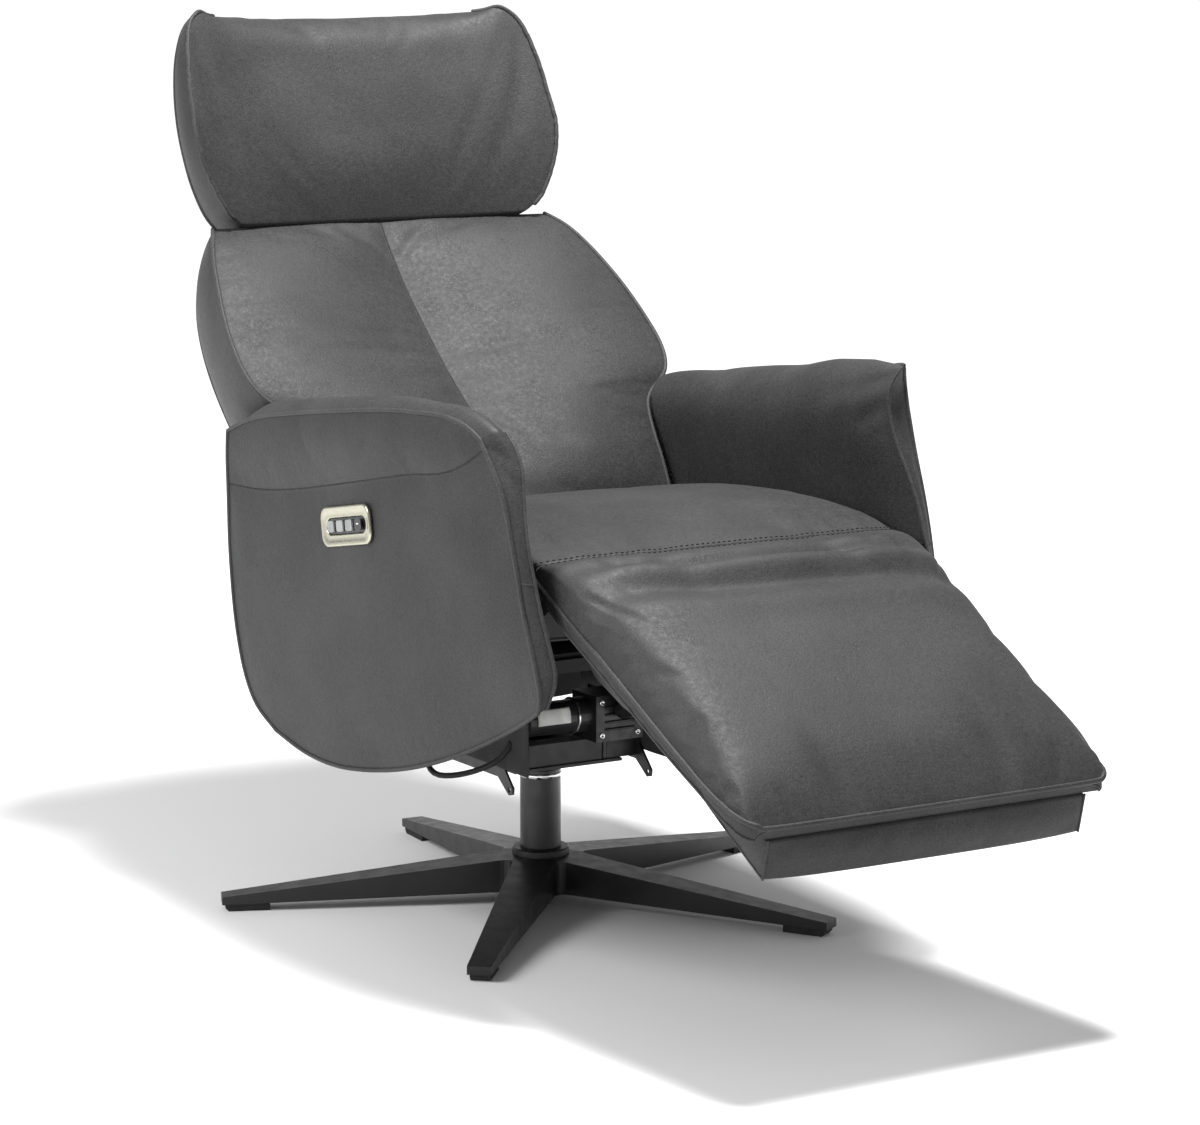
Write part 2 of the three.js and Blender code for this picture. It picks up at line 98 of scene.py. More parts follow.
# -------- lines and panels
def smooth_line(points, count, passes=0):
    """Count points, evenly spaced along a smooth curve through the given ones."""
    p = np.asarray(points, float)
    gap = np.linalg.norm(np.diff(p, axis=0), axis=1)
    t = np.concatenate([[0], np.cumsum(gap)])
    slope = np.diff(p, axis=0) / gap[:, None]
    tangent = np.vstack([slope[:1], slope[1:], slope[-1:]])
    before, after = gap[:-1, None], gap[1:, None]
    tangent[1:-1] = (slope[:-1] * after + slope[1:] * before) / (before + after)
    dense = []
    for i in range(len(p) - 1):
        k = np.linspace(0, 1, 24, endpoint=False)[:, None]
        h = gap[i]
        dense.append((2 * k**3 - 3 * k**2 + 1) * p[i] + (k**3 - 2 * k**2 + k) * h * tangent[i]
            + (-2 * k**3 + 3 * k**2) * p[i + 1] + (k**3 - k**2) * h * tangent[i + 1])
    line = evenly(np.vstack([*dense, p[-1:]]), count)
    for _ in range(passes):
        line[1:-1] = line[1:-1] * .5 + (line[:-2] + line[2:]) * .25
    return line


def evenly(line, count):
    """The same line with count points, evenly spaced."""
    t = np.concatenate([[0], np.cumsum(np.linalg.norm(np.diff(line, axis=0), axis=1))])
    at = np.linspace(0, t[-1], count)
    return np.stack([np.interp(at, t, line[:, i]) for i in range(line.shape[1])], 1)


def mirror(points):
    """The other side of the chair."""
    return np.asarray(points, float) * (-1, 1, 1)


def coons(south, north, west, east):
    """A panel between four lines. South and north run along it, west and east across."""
    u = np.linspace(0, 1, len(south))[:, None, None]
    v = np.linspace(0, 1, len(west))[None, :, None]
    corners = ((1 - u) * (1 - v) * south[0] + u * (1 - v) * south[-1] + (1 - u) * v * north[0] + u * v
        * north[-1])
    return (1 - v) * south[:, None] + v * north[:, None] + (1 - u) * west[None] + u * east[None] - corners


def crowned(panel, height, power=2.5):
    """Raises the middle of a panel by a vector height. The panel's edges stay."""
    u = np.linspace(-1, 1, panel.shape[0])[:, None]
    v = np.linspace(-1, 1, panel.shape[1])[None, :]
    rise = (1 - np.abs(u)**power) * (1 - np.abs(v)**power)
    return panel + rise[..., None] * np.asarray(height, float)


def symmetrical(middle, edge, columns, power):
    """A panel whose rows run from -X to +X: middle is its line at x = 0 and edge its line on +X."""
    u = np.linspace(-1, 1, columns)
    share = np.abs(u)[None, :, None]**power
    panel = middle[:, None] + share * (edge - middle)[:, None]
    panel[..., 0] = edge[:, None, 0] * u[None]
    return panel


def boxy(middle, edge, columns, square):
    """A puffed panel: full across the middle, and rolled down steeply to its edges. Square is the power."""
    turn = np.linspace(-math.pi / 2, math.pi / 2, columns)
    share = np.abs(np.sin(turn))**(2 / square)
    full = np.clip(np.cos(turn), 0, 1)**(2 / square)
    panel = edge[:, None] + full[None, :, None] * (middle - edge)[:, None]
    panel[..., 0] = edge[:, None, 0] * (share * np.sign(turn))[None]
    return panel


def winged(middle, edge, columns, puff):
    """Two puffed panels side by side, sewn together in a valley at x = 0. Puff is a vector."""
    u = np.abs(np.linspace(-1, 1, columns))
    panel = symmetrical(middle, edge, columns, 1.6)
    along = np.clip(np.sin(math.pi * np.linspace(0, 1, len(middle))), 0, 1)**.5
    rise = along[:, None] * (np.sin(math.pi * u**1.15)**.8)[None]
    return panel + rise[..., None] * np.asarray(puff, float)


def bridge(a, b, steps, bulge=(0, 0, 0)):
    """A panel from line a to line b that swells by bulge, and lies straight at the lines' ends."""
    t = np.linspace(0, 1, steps)[None, :, None]
    taper = np.sin(math.pi * np.linspace(0, 1, len(a)))[:, None, None]**.4
    return a[:, None] * (1 - t) + b[:, None] * t + np.sin(math.pi * t) * taper * np.asarray(bulge, float)


def box_panels(front, rear, side, steps, top, bottom):
    """The two given panels and the four that close the pad between them. Rows run up, columns across."""
    return [front, rear, bridge(front[:, -1], rear[:, -1], steps, side),
        bridge(front[:, 0], rear[:, 0], steps, mirror(side)), bridge(front[-1], rear[-1], steps, top),
        bridge(front[0], rear[0], steps, bottom)]


def thin(face, back):
    """The six panels of a thin sheet with a face and a back."""
    return [face, back] + [bridge(a, b, 2) for a, b in ((face[0], back[0]), (face[-1], back[-1]),
        (face[:, 0], back[:, 0]), (face[:, -1], back[:, -1]))]


# -------- meshes
def box(node):
    """A CAD node's lowest and highest corners."""
    return (np.array(corner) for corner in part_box(node))


def mesh_of(name, verts, faces):
    mesh = bpy.data.meshes.new(name)
    mesh.from_pydata([tuple(v) for v in verts], [], faces)
    return mesh


def new_object(name, mesh, body, material):
    obj = bpy.data.objects.new(name, mesh)
    bpy.context.scene.collection.objects.link(obj)
    mesh.materials.clear()
    mesh.materials.append(material)
    mesh.shade_smooth()
    if body:
        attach(obj, body)
    return obj


def sewn(name, panels, body, material):
    """One closed mesh from panels that share their edges."""
    verts, faces = [], []
    for panel in panels:
        rows, columns = panel.shape[:2]
        start = len(verts)
        verts.extend(panel.reshape(-1, 3).tolist())
        for i in range(rows - 1):
            for j in range(columns - 1):
                a = start + i * columns + j
                faces.append((a, a + 1, a + columns + 1, a + columns))
    mesh = mesh_of(name, verts, faces)
    clean(mesh)
    return new_object(name, mesh, body, material)


def clean(mesh, merge=8e-5):
    """Joins the panels' shared points, and turns every face outwards."""
    bm = bmesh.new()
    bm.from_mesh(mesh)
    bmesh.ops.remove_doubles(bm, verts=bm.verts, dist=merge)
    bmesh.ops.dissolve_degenerate(bm, edges=bm.edges, dist=1e-5)
    bmesh.ops.recalc_face_normals(bm, faces=bm.faces)
    if bm.calc_volume(signed=True) < 0:
        bmesh.ops.reverse_faces(bm, faces=bm.faces)
    bm.to_mesh(mesh)
    bm.free()


def sweep(name, line, radius, body, material, closed=False, sides=10, flat=1.0,
          out=None):
    """A round or flattened cord along a line, with rounded ends where it isn't closed."""
    p = np.asarray(line, float)
    if closed and np.linalg.norm(p[0] - p[-1]) < 1e-6:
        p = p[:-1]
    forward = np.roll(p, -1, 0) - np.roll(p, 1, 0) if closed else np.gradient(p, axis=0)
    forward /= np.linalg.norm(forward, axis=1)[:, None]
    normal = np.array(out if out is not None else (.31, .2, .93), float)
    radii = np.full(len(p), radius)
    if not closed:
        ends = np.array([.02, .6, .9])
        p = np.vstack([p[:1] - forward[:1] * radius * k for k in (.9, .7, .4)] + [p]
            + [p[-1:] + forward[-1:] * radius * k for k in (.4, .7, .9)])
        forward = np.vstack([forward[:1]] * 3 + [forward] + [forward[-1:]] * 3)
        radii = np.concatenate([ends * radius, radii, ends[::-1] * radius])
    verts, frames = [], []
    for i in range(len(p)):
        normal = normal - forward[i] * (normal @ forward[i])
        normal /= np.linalg.norm(normal)
        frames.append((normal.copy(), np.cross(forward[i], normal)))
    for i, (n, b) in enumerate(frames):
        for k in range(sides):
            a = 2 * math.pi * k / sides
            verts.append(p[i] + radii[i] * (n * math.cos(a) * flat + b * math.sin(a)))
    faces = []
    count = len(p)
    for i in range(count if closed else count - 1):
        for k in range(sides):
            a, b = i * sides, ((i + 1) % count) * sides
            l = (k + 1) % sides
            faces.append((a + k, a + l, b + l, b + k))
    if not closed:
        faces += [tuple(range(sides)), tuple(range((count - 1) * sides, count * sides))]
    mesh = mesh_of(name, verts, faces)
    bm = bmesh.new()
    bm.from_mesh(mesh)
    bmesh.ops.recalc_face_normals(bm, faces=bm.faces)
    bm.to_mesh(mesh)
    bm.free()
    return new_object(name, mesh, body, material)


def rounded_block(name, size, centre, body, material, radius=.002, turn=(0, 0, 0), segments=3):
    """A block with rounded edges."""
    bm = bmesh.new()
    bmesh.ops.create_cube(bm, size=1)
    bmesh.ops.scale(bm, vec=size, verts=bm.verts)
    bmesh.ops.bevel(bm, geom=bm.edges[:], offset=radius, segments=segments, affect="EDGES", profile=.5)
    mesh = bpy.data.meshes.new(name)
    bm.to_mesh(mesh)
    bm.free()
    obj = new_object(name, mesh, None, material)
    obj.rotation_euler = turn
    obj.location = centre
    bpy.context.view_layer.update()
    mesh.transform(obj.matrix_world)
    obj.matrix_world = ((1, 0, 0, 0), (0, 1, 0, 0), (0, 0, 1, 0), (0, 0, 0, 1))
    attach(obj, body)
    return obj


def turned(name, profile, centre, axis, body, material, segments=48):
    """A profile of (radius, place along axis) pairs, turned about an axis through centre."""
    verts, faces = [], []
    count = len(profile)
    along = np.array(axis, float)
    u = np.cross(along, (0.0, .3, 1.0))
    u /= np.linalg.norm(u)
    v = np.cross(along, u)
    for k in range(segments):
        a = 2 * math.pi * k / segments
        for r, h in profile:
            verts.append(np.asarray(centre, float) + along * h + (u * math.cos(a) + v * math.sin(a)) * r)
    for k in range(segments):
        a, b = k * count, ((k + 1) % segments) * count
        for i in range(count - 1):
            faces.append((a + i, a + i + 1, b + i + 1, b + i))
    mesh = mesh_of(name, verts, faces)
    clean(mesh, 1e-6)
    return new_object(name, mesh, body, material)


def near(obj, lines, reach=.0006):
    """Indices of the vertices that lie on any of the lines."""
    points = np.vstack([evenly(np.asarray(line), 600) for line in lines])
    tree = KDTree(len(points))
    for i, p in enumerate(points):
        tree.insert(p, i)
    tree.balance()
    return [v.index for v in obj.data.vertices if tree.find(v.co)[2] < reach]


def crease(obj, sewn_points, strength):
    """Keeps the folds along the seams sharp under the subdivision."""
    held = set(sewn_points)
    folds = obj.data.attributes.new("crease_edge", "FLOAT", "EDGE")
    for edge in obj.data.edges:
        if edge.vertices[0] in held and edge.vertices[1] in held:
            folds.data[edge.index].value = strength


def plump(obj, seams, cap, pressure, slack, sharp=.75, held=None):
    """Swells a pad by a short cloth simulation. Its seams stay put, and no point moves past cap."""
    sewn_points = near(obj, seams)
    crease(obj, sewn_points, sharp)
    group = obj.vertex_groups.new(name="seams")
    group.add(sewn_points, 1.0, "REPLACE")
    if held:
        firm = [v.index for v in obj.data.vertices if held(np.array(v.co) - COLUMN)]
        group.add(firm, 1.0, "REPLACE")
    cloth = obj.modifiers.new("Cloth", "CLOTH")
    settings = cloth.settings
    settings.quality = 5
    settings.use_pressure = True
    settings.uniform_pressure_force = pressure
    settings.effector_weights.gravity = 0
    settings.vertex_group_mass = "seams"
    settings.shrink_min = -slack
    cloth.collision_settings.use_collision = False
    scene = bpy.context.scene
    for number in range(1, SETTLE_FRAMES + 1):
        scene.frame_set(number)
    done = obj.evaluated_get(bpy.context.evaluated_depsgraph_get()).data
    rest = np.zeros(len(obj.data.vertices) * 3, np.float32)
    moved = rest.copy()
    obj.data.vertices.foreach_get("co", rest)
    done.vertices.foreach_get("co", moved)
    step = (moved - rest).reshape(-1, 3)
    length = np.linalg.norm(step, axis=1)[:, None] + 1e-9
    step *= cap * np.tanh(length / cap) / length
    obj.modifiers.remove(cloth)
    obj.data.vertices.foreach_set("co", (rest.reshape(-1, 3) + step).ravel())
    obj.data.update()
    scene.frame_set(1)


def push(obj, field):
    """Moves every vertex along its normal by field(place from the column, normal)."""
    normals = [v.normal.copy() for v in obj.data.vertices]
    for v, n in zip(obj.data.vertices, normals):
        v.co += n * field(np.array(v.co) - COLUMN, n)
    obj.data.update()


def refine(obj, levels=1):
    modifier = obj.modifiers.new("Fine", "SUBSURF")
    modifier.levels = modifier.render_levels = levels
    return obj


def laid(obj, line, lift=0.0):
    """A line moved onto the nearest place of a finished cover."""
    surface = BVHTree.FromObject(obj, bpy.context.evaluated_depsgraph_get())
    points = []
    for p in line:
        spot, normal, _, _ = surface.find_nearest(Vector(p))
        points.append(np.array(spot) + np.array(normal) * lift)
    return np.array(points)


def make_pad(name, place, panels, seams, body, fill, stands_for, fixing=(), **cloth):
    """A sewn, swollen and subdivided pad. Place moves its panels and seams into the row frame."""
    pad = sewn(name, [place(panel) for panel in panels], body, FABRIC)
    plump(pad, [place(line) for line in seams] + list(fixing), **cloth)
    refine(pad)
    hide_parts(*stands_for)
    return pad


def seam_shade_line(name, obj, line, body, radius=SEAM_SHADE_CORD, lift=-.0002):
    """A dark cord sunk along a plain seam and laid on its cover: painted shade in the seam's groove."""
    return sweep(name, laid(obj, line, lift), radius, body, THREAD_AND_SEAM_SHADE, sides=8)


def soften(node, width, angle=30):
    """Rounds the edges of a CAD node with modifiers. Its mesh stays."""
    obj = frame["nodes"][node]
    flat = obj.modifiers.new("Flat", "DECIMATE")
    flat.decimate_type = "DISSOLVE"
    flat.angle_limit = math.radians(2)
    bevel = obj.modifiers.new("Round", "BEVEL")
    bevel.width = width
    bevel.segments = 3
    bevel.limit_method = "ANGLE"
    bevel.angle_limit = math.radians(angle)
    bevel.harden_normals = False
    weighted = obj.modifiers.new("Shade", "WEIGHTED_NORMAL")
    weighted.keep_sharp = False
    obj.data.shade_smooth()


# -------- materials
class Paint:
    """A material with a Principled shader and the few nodes that the finishes here share."""

    def __init__(self, name, colour, roughness, **inputs):
        self.material = bpy.data.materials.new(name)
        self.material.use_nodes = True
        self.tree = self.material.node_tree
        self.shader = self.tree.nodes["Principled BSDF"]
        self.set("Base Color", (*colour, 1))
        self.set("Roughness", roughness)
        for key, value in inputs.items():
            self.set(key.replace("_", " "), value)
        self.place = self.node("ShaderNodeTexCoord").outputs["Object"]

    def node(self, kind, **values):
        made = self.tree.nodes.new(kind)
        for key, value in values.items():
            if key in made.inputs:
                made.inputs[key].default_value = value
            else:
                setattr(made, key, value)
        return made

    def set(self, socket, value):
        self.shader.inputs[socket].default_value = value

    def link(self, a, b):
        self.tree.links.new(a, b)
        return b

    def noise(self, scale, detail=3.0, roughness=.55, place=None):
        made = self.node("ShaderNodeTexNoise", Scale=scale, Detail=detail, Roughness=roughness)
        self.link(place or self.place, made.inputs["Vector"])
        return made.outputs["Fac"]

    def ramp(self, value, low, high, start=.3, end=.7):
        """Value mapped from start..end to the two given colours or grey levels."""
        made = self.node("ShaderNodeValToRGB")
        colours = [c if hasattr(c, "__len__") else (c, c, c) for c in (low, high)]
        for element, colour, at in zip(made.color_ramp.elements, colours, (start, end)):
            element.color = (*colour, 1)
            element.position = at
        self.link(value, made.inputs["Fac"])
        return made.outputs["Color"]

    def mix(self, a, b, share, how="MIX"):
        made = self.node("ShaderNodeMix", data_type="RGBA", blend_type=how)
        for socket, value in ((made.inputs[0], share), (made.inputs[6], a), (made.inputs[7], b)):
            if hasattr(value, "node"):
                self.link(value, socket)
            else:
                socket.default_value = value
        return made.outputs[2]

    def bump(self, height, strength, distance, before=None):
        made = self.node("ShaderNodeBump", Strength=strength, Distance=distance)
        self.link(height, made.inputs["Height"])
        if before is not None:
            self.link(before, made.inputs["Normal"])
        return made.outputs["Normal"]

    def finish(self, colour=None, roughness=None, normal=None):
        for value, socket in ((colour, "Base Color"), (roughness, "Roughness"), (normal, "Normal")):
            if value is not None:
                self.link(value, self.shader.inputs[socket])
        return self.material


def nubuck(name, dark, light):
    """Dark grey brushed leather: a fine grain, faint clouds, hair creases in patches and a soft sheen."""
    p = Paint(name, light, .58, Sheen_Weight=.05, Sheen_Roughness=.4, Specular_IOR_Level=.3)
    clouds = p.noise(9.0, 4.0, .55)
    grain = p.noise(520.0, 2.0, .6)
    nap = p.noise(170.0, 4.0, .7)
    wobble = p.node("ShaderNodeTexNoise", Scale=30.0, Detail=3.0)
    p.link(p.place, wobble.inputs["Vector"])
    bent = p.node("ShaderNodeMix", data_type="VECTOR")
    bent.inputs[0].default_value = .05
    p.link(p.place, bent.inputs[4])
    p.link(wobble.outputs["Color"], bent.inputs[5])
    cells = p.node("ShaderNodeTexVoronoi", feature="DISTANCE_TO_EDGE", Scale=120.0)
    p.link(bent.outputs[1], cells.inputs["Vector"])
    patches = p.ramp(p.noise(13.0, 4.0, .65), 0.0, 1.0, .5, .66)
    creases = p.mix((1, 1, 1, 1), p.ramp(cells.outputs["Distance"], 0.0, 1.0, 0.0, .07), patches)
    base = p.mix(p.ramp(clouds, dark, light, .36, .66), p.ramp(grain, .62, 1.36, .3, .7), 1.0, "MULTIPLY")
    worn = p.mix(base, p.ramp(nap, .8, 1.2, .3, .7), 1.0, "MULTIPLY")
    lines = p.mix((1, 1, 1, 1), p.ramp(cells.outputs["Distance"], .62, 1.0, 0.0, .09), patches)
    colour = p.mix(worn, lines, .7, "MULTIPLY")
    rough = p.ramp(nap, .5, .68, .3, .7)
    fine = p.bump(grain, .35, .0007)
    pebble = p.bump(nap, .25, .0014, fine)
    return p.finish(colour, rough, p.bump(creases, .28, .0008, pebble))


def powder_coat(name, grey, roughness, grain):
    """Painted steel: a fine even texture and a slightly uneven gloss."""
    p = Paint(name, (grey,) * 3, roughness, Specular_IOR_Level=.5)
    fine = p.noise(1400.0, 2.0, .6)
    colour = p.ramp(p.noise(18.0, 3.0), grey * .8, grey * 1.25, .35, .65)
    rough = p.ramp(p.noise(60.0, 3.0), roughness - .05, roughness + .06, .35, .65)
    return p.finish(colour, rough, p.bump(fine, grain, .0003))


def polished(name, colour, roughness, brushed=0.0):
    """Bare metal with faint streaks along Y."""
    p = Paint(name, colour, roughness, Metallic=1.0)
    stretch = p.node("ShaderNodeMapping", Scale=(900.0, 26.0, 900.0))
    p.link(p.place, stretch.inputs["Vector"])
    streaks = p.noise(1.0, 3.0, .6, stretch.outputs["Vector"])
    rough = p.ramp(p.noise(120.0, 3.0), roughness * .75, roughness * 1.35, .35, .65)
    tone = p.ramp(streaks, [c * .86 for c in colour], colour, .3, .7)
    return p.finish(tone, rough, p.bump(streaks, brushed, .0002))


def moulded(name, colour, roughness):
    """Plastic or rubber with a finely etched surface."""
    p = Paint(name, colour, roughness, Specular_IOR_Level=.5)
    tone = p.ramp(p.noise(40.0, 3.0), [c * .85 for c in colour], [c * 1.15 for c in colour], .35, .65)
    rough = p.ramp(p.noise(90.0, 2.0), roughness - .06, roughness + .08, .35, .65)
    return p.finish(tone, rough, p.bump(p.noise(1900.0, 2.0), .16, .0002))


def timber(name):
    """Birch plywood."""
    p = Paint(name, (.45, .3, .16), .6)
    stretch = p.node("ShaderNodeMapping", Scale=(3.0, 26.0, 60.0))
    p.link(p.place, stretch.inputs["Vector"])
    rings = p.noise(1.6, 6.0, .65, stretch.outputs["Vector"])
    plies = p.node("ShaderNodeTexWave", Scale=120.0, Distortion=.6, wave_type="BANDS", bands_direction="Z")
    p.link(p.place, plies.inputs["Vector"])
    grain = p.ramp(rings, (.3, .19, .1), (.56, .4, .24), .3, .7)
    colour = p.mix(grain, p.ramp(plies.outputs["Fac"], .72, 1.0, .3, .6), .5, "MULTIPLY")
    return p.finish(colour, p.ramp(rings, .5, .7), p.bump(rings, .2, .0004))


def lining(name):
    """Black non-woven lining cloth."""
    p = Paint(name, (.012, .012, .013), .85, Sheen_Weight=.1)
    weave = p.noise(520.0, 4.0, .75)
    return p.finish(p.ramp(weave, .008, .022), p.ramp(weave, .78, .92), p.bump(weave, .5, .0008))


FABRIC = nubuck("nubuck_grey", (.021, .021, .0215), (.03, .03, .0305))
# The piping, hems and seam cords: the same leather as the cover, made lighter as a painted highlight along them.
WELT_PAINTED_HIGHLIGHT = nubuck("nubuck_welt_painted_highlight", (.027, .027, .0275), (.038, .038, .0385))
BASE_COAT = powder_coat("satin_black_base", .01, .33, .08)
STEEL_COAT = powder_coat("black_steel_coat", .01, .42, .2)
CHROME = polished("bright_chrome", (.8, .81, .82), .1)
CHAMPAGNE = polished("champagne_trim", (.46, .445, .36), .24, .1)
BLACK = moulded("black_moulding", (.012, .012, .013), .34)
KEYS = moulded("grey_keys", (.24, .245, .245), .38)
MARKS = moulded("white_marks", (.78, .78, .76), .5)
RUBBER = moulded("glide_rubber", (.014, .014, .014), .7)
WOOD = timber("birch_plywood")
LINING = lining("black_lining")
# Dark thread for the knee topstitching, and painted shade for the dark cords along the plain seams.
THREAD_AND_SEAM_SHADE = moulded("dark_thread_and_seam_shade", (.01, .01, .0105), .8)


# -------- back rest
def keyed(count, keys):
    """Vectors that run smoothly through (share of the way, vector) keys."""
    at = np.linspace(0, 1, count)
    shares = [k[0] for k in keys]
    return np.stack([np.interp(at, shares, [k[1][i] for k in keys]) for i in range(3)], 1)


def count_for(length):
    """An odd number of points for a panel of this length, so that it has a middle line."""
    return int(round(length / SPACING)) | 1


def make_back_rest():
    rows, columns = count_for(.5), count_for(.56)
    middle = smooth_line([(0, -.005, .066), (0, .05, .074), (0, .105, .074), (0, .17, .064), (0, .24, .057),
        (0, .3, .055), (0, .37, .055), (0, .43, .06), (0, .474, .068)], rows, 4)
    edge = smooth_line([(.23, -.005, .05), (.232, .05, .068), (.234, .1, .079), (.242, .137, .086),
        (.262, .156, .089), (.281, .17, .091), (.292, .192, .092), (.297, .225, .092), (.295, .268, .091),
        (.289, .312, .091), (.279, .358, .09), (.267, .403, .087), (.254, .438, .083), (.24, .467, .073)],
        rows, 3)
    rear_middle = smooth_line([(0, .025, -.045), (0, .06, -.076), (0, .15, -.09), (0, .25, -.09),
        (0, .35, -.078), (0, .42, -.054), (0, .455, -.02)], rows, 2)
    rear_edge = smooth_line([(.224, .03, -.04), (.227, .06, -.06), (.23, .12, -.074), (.234, .2, -.082),
        (.239, .289, -.079), (.241, .328, -.074), (.243, .374, -.062), (.243, .419, -.04),
        (.241, .448, -.008), (.237, .463, .022)], rows, 3)
    front = winged(middle, edge, columns, (0, 0, .019))
    rear = symmetrical(rear_middle, rear_edge, columns, 3.0)
    panels = box_panels(front, rear, (.01, 0, 0), 15, (0, .014, 0), (0, -.01, 0))
    seams = (edge, mirror(edge), middle, rear_edge, mirror(rear_edge), front[0], front[-1], rear[0],
        rear[-1])
    pad = make_pad("back_pad", on_back, panels, seams, "back_rest", .75, ("back_cushion", "back_cover"),
        cap=.012, pressure=4.0, slack=.006)
    # A dark cord of painted shade along the back's middle seam.
    seam_shade_line("back_middle_seam_shade", pad, on_back(middle[10:]), "back_rest")
    for side, hand in (("left", LEFT), ("right", RIGHT)):
        place = (hand, 1, 1)
        sweep(f"back_welt_{side}", on_back(edge * place), PIPING, "back_rest", WELT_PAINTED_HIGHLIGHT)
        sweep(f"back_rear_seam_{side}", on_back(rear_edge * place), REAR_SEAM, "back_rest", WELT_PAINTED_HIGHLIGHT)


# -------- head rest
def make_head_rest():
    rows, columns = count_for(.29), count_for(.5)
    middle = smooth_line([(0, -.001, .024), (0, .05, .038), (0, .13, .04), (0, .2, .038), (0, .255, .034),
        (0, .281, .022), (0, .2865, .004)], rows, 1)
    edge = smooth_line([(.204, -.004, .038), (.222, .007, .046), (.236, .027, .054), (.246, .048, .06),
        (.256, .078, .067), (.26, .108, .071), (.257, .14, .071), (.253, .185, .071), (.248, .215, .07),
        (.242, .24, .068), (.232, .26, .064), (.217, .272, .06)], rows, 1)
    rear_middle = smooth_line([(0, .006, -.014), (0, .03, -.038), (0, .09, -.047), (0, .16, -.046),
        (0, .22, -.038), (0, .266, -.02), (0, .2845, -.004)], rows, 2)
    rear_edge = smooth_line([(.2, -.002, -.02), (.222, .018, -.014), (.238, .055, -.007), (.245, .1, -.003),
        (.247, .15, .002), (.247, .19, .014), (.246, .225, .034), (.236, .256, .052), (.215, .273, .054)],
        rows, 1)
    front = symmetrical(middle, edge, columns, 3.2)
    rear = symmetrical(rear_middle, rear_edge, columns, 3.2)
    full = symmetrical(rear_middle, rear_edge, columns, 9)       # room for the frame's upper corners
    rear = rear + (full - rear) * np.clip((.272 - rear_middle[:, 1]) / .02, 0, 1)[:, None, None]
    panels = box_panels(front, rear, (.006, 0, 0), 9, (0, .004, 0), (0, -.006, 0))
    seams = (edge, mirror(edge), rear_edge, mirror(rear_edge), front[0], rear[0])
    pad = make_pad("head_pad", on_head, panels, seams, "head_rest", .8,
        ("headrest_cushion", "headrest_cover"), cap=.008, pressure=2.5, slack=0.0, sharp=.4)
    for side, hand in (("left", LEFT), ("right", RIGHT)):
        place = (hand, 1, 1)
        ear = front[-1][::-1][1:5] if hand == LEFT else front[-1][1:5]
        over = evenly(np.vstack([edge[2:] * place, ear]), 120)
        sweep(f"head_welt_{side}", laid(pad, on_head(over), .0006), PIPING, "head_rest", WELT_PAINTED_HIGHLIGHT)
        sweep(f"head_rear_welt_{side}", on_head(rear_edge * place), .0022, "head_rest", WELT_PAINTED_HIGHLIGHT)


# -------- arm rests
# The two arms differ only here: the ends of the lines that meet at the upper front corner, and how far the
# crest swells between them.
ARM_CORNER = {
    LEFT: dict(
        top=[(.306, -.2, .65), (.301, -.26, .66), (.292, -.315, .669), (.281, -.35, .675),
        (.269, -.371, .677)],
        band=[(.299, -.214, .574), (.293, -.3, .592), (.287, -.335, .607), (.28, -.364, .627)],
        front=[(.277, -.383, .58), (.28, -.364, .627)],
        ear=[(.28, -.364, .627), (.281, -.357, .652), (.269, -.371, .677)],
        inner_top=[(.247, -.25, .652), (.247, -.315, .662), (.253, -.355, .668),
        (.263, -.375, .6745)],
        inner_front=[(.249, -.38, .6), (.248, -.371, .632), (.251, -.371, .655),
        (.263, -.375, .6745)],
        crest=((0, (0, .004, .01)), (.12, (0, 0, .021)), (.5, (0, 0, .021)), (.75, (0, 0, .021)),
        (.88, (0, 0, .015)), (1, (0, -.001, .001))), lip=(0, 0, 0)),
    RIGHT: dict(
        top=[(.304, -.241, .647), (.293, -.306, .646), (.286, -.333, .638), (.282, -.35, .627)],
        band=[(.298, -.214, .573), (.291, -.295, .586), (.287, -.332, .601),
        (.2815, -.357, .618)],
        front=[(.277, -.383, .58), (.2815, -.357, .618)],
        ear=[(.2815, -.357, .618), (.282, -.35, .627)],
        inner_top=[(.247, -.25, .642), (.248, -.31, .643), (.2505, -.352, .632)],
        inner_front=[(.2488, -.382, .6), (.2495, -.368, .619), (.2505, -.352, .632)],
        crest=((0, (0, .004, .01)), (.12, (0, 0, .021)), (.4, (0, 0, .021)), (.7, (0, 0, .018)),
        (.85, (0, -.004, .014)), (1, (0, -.007, .008))), lip=(0, -.007, .008)),
}


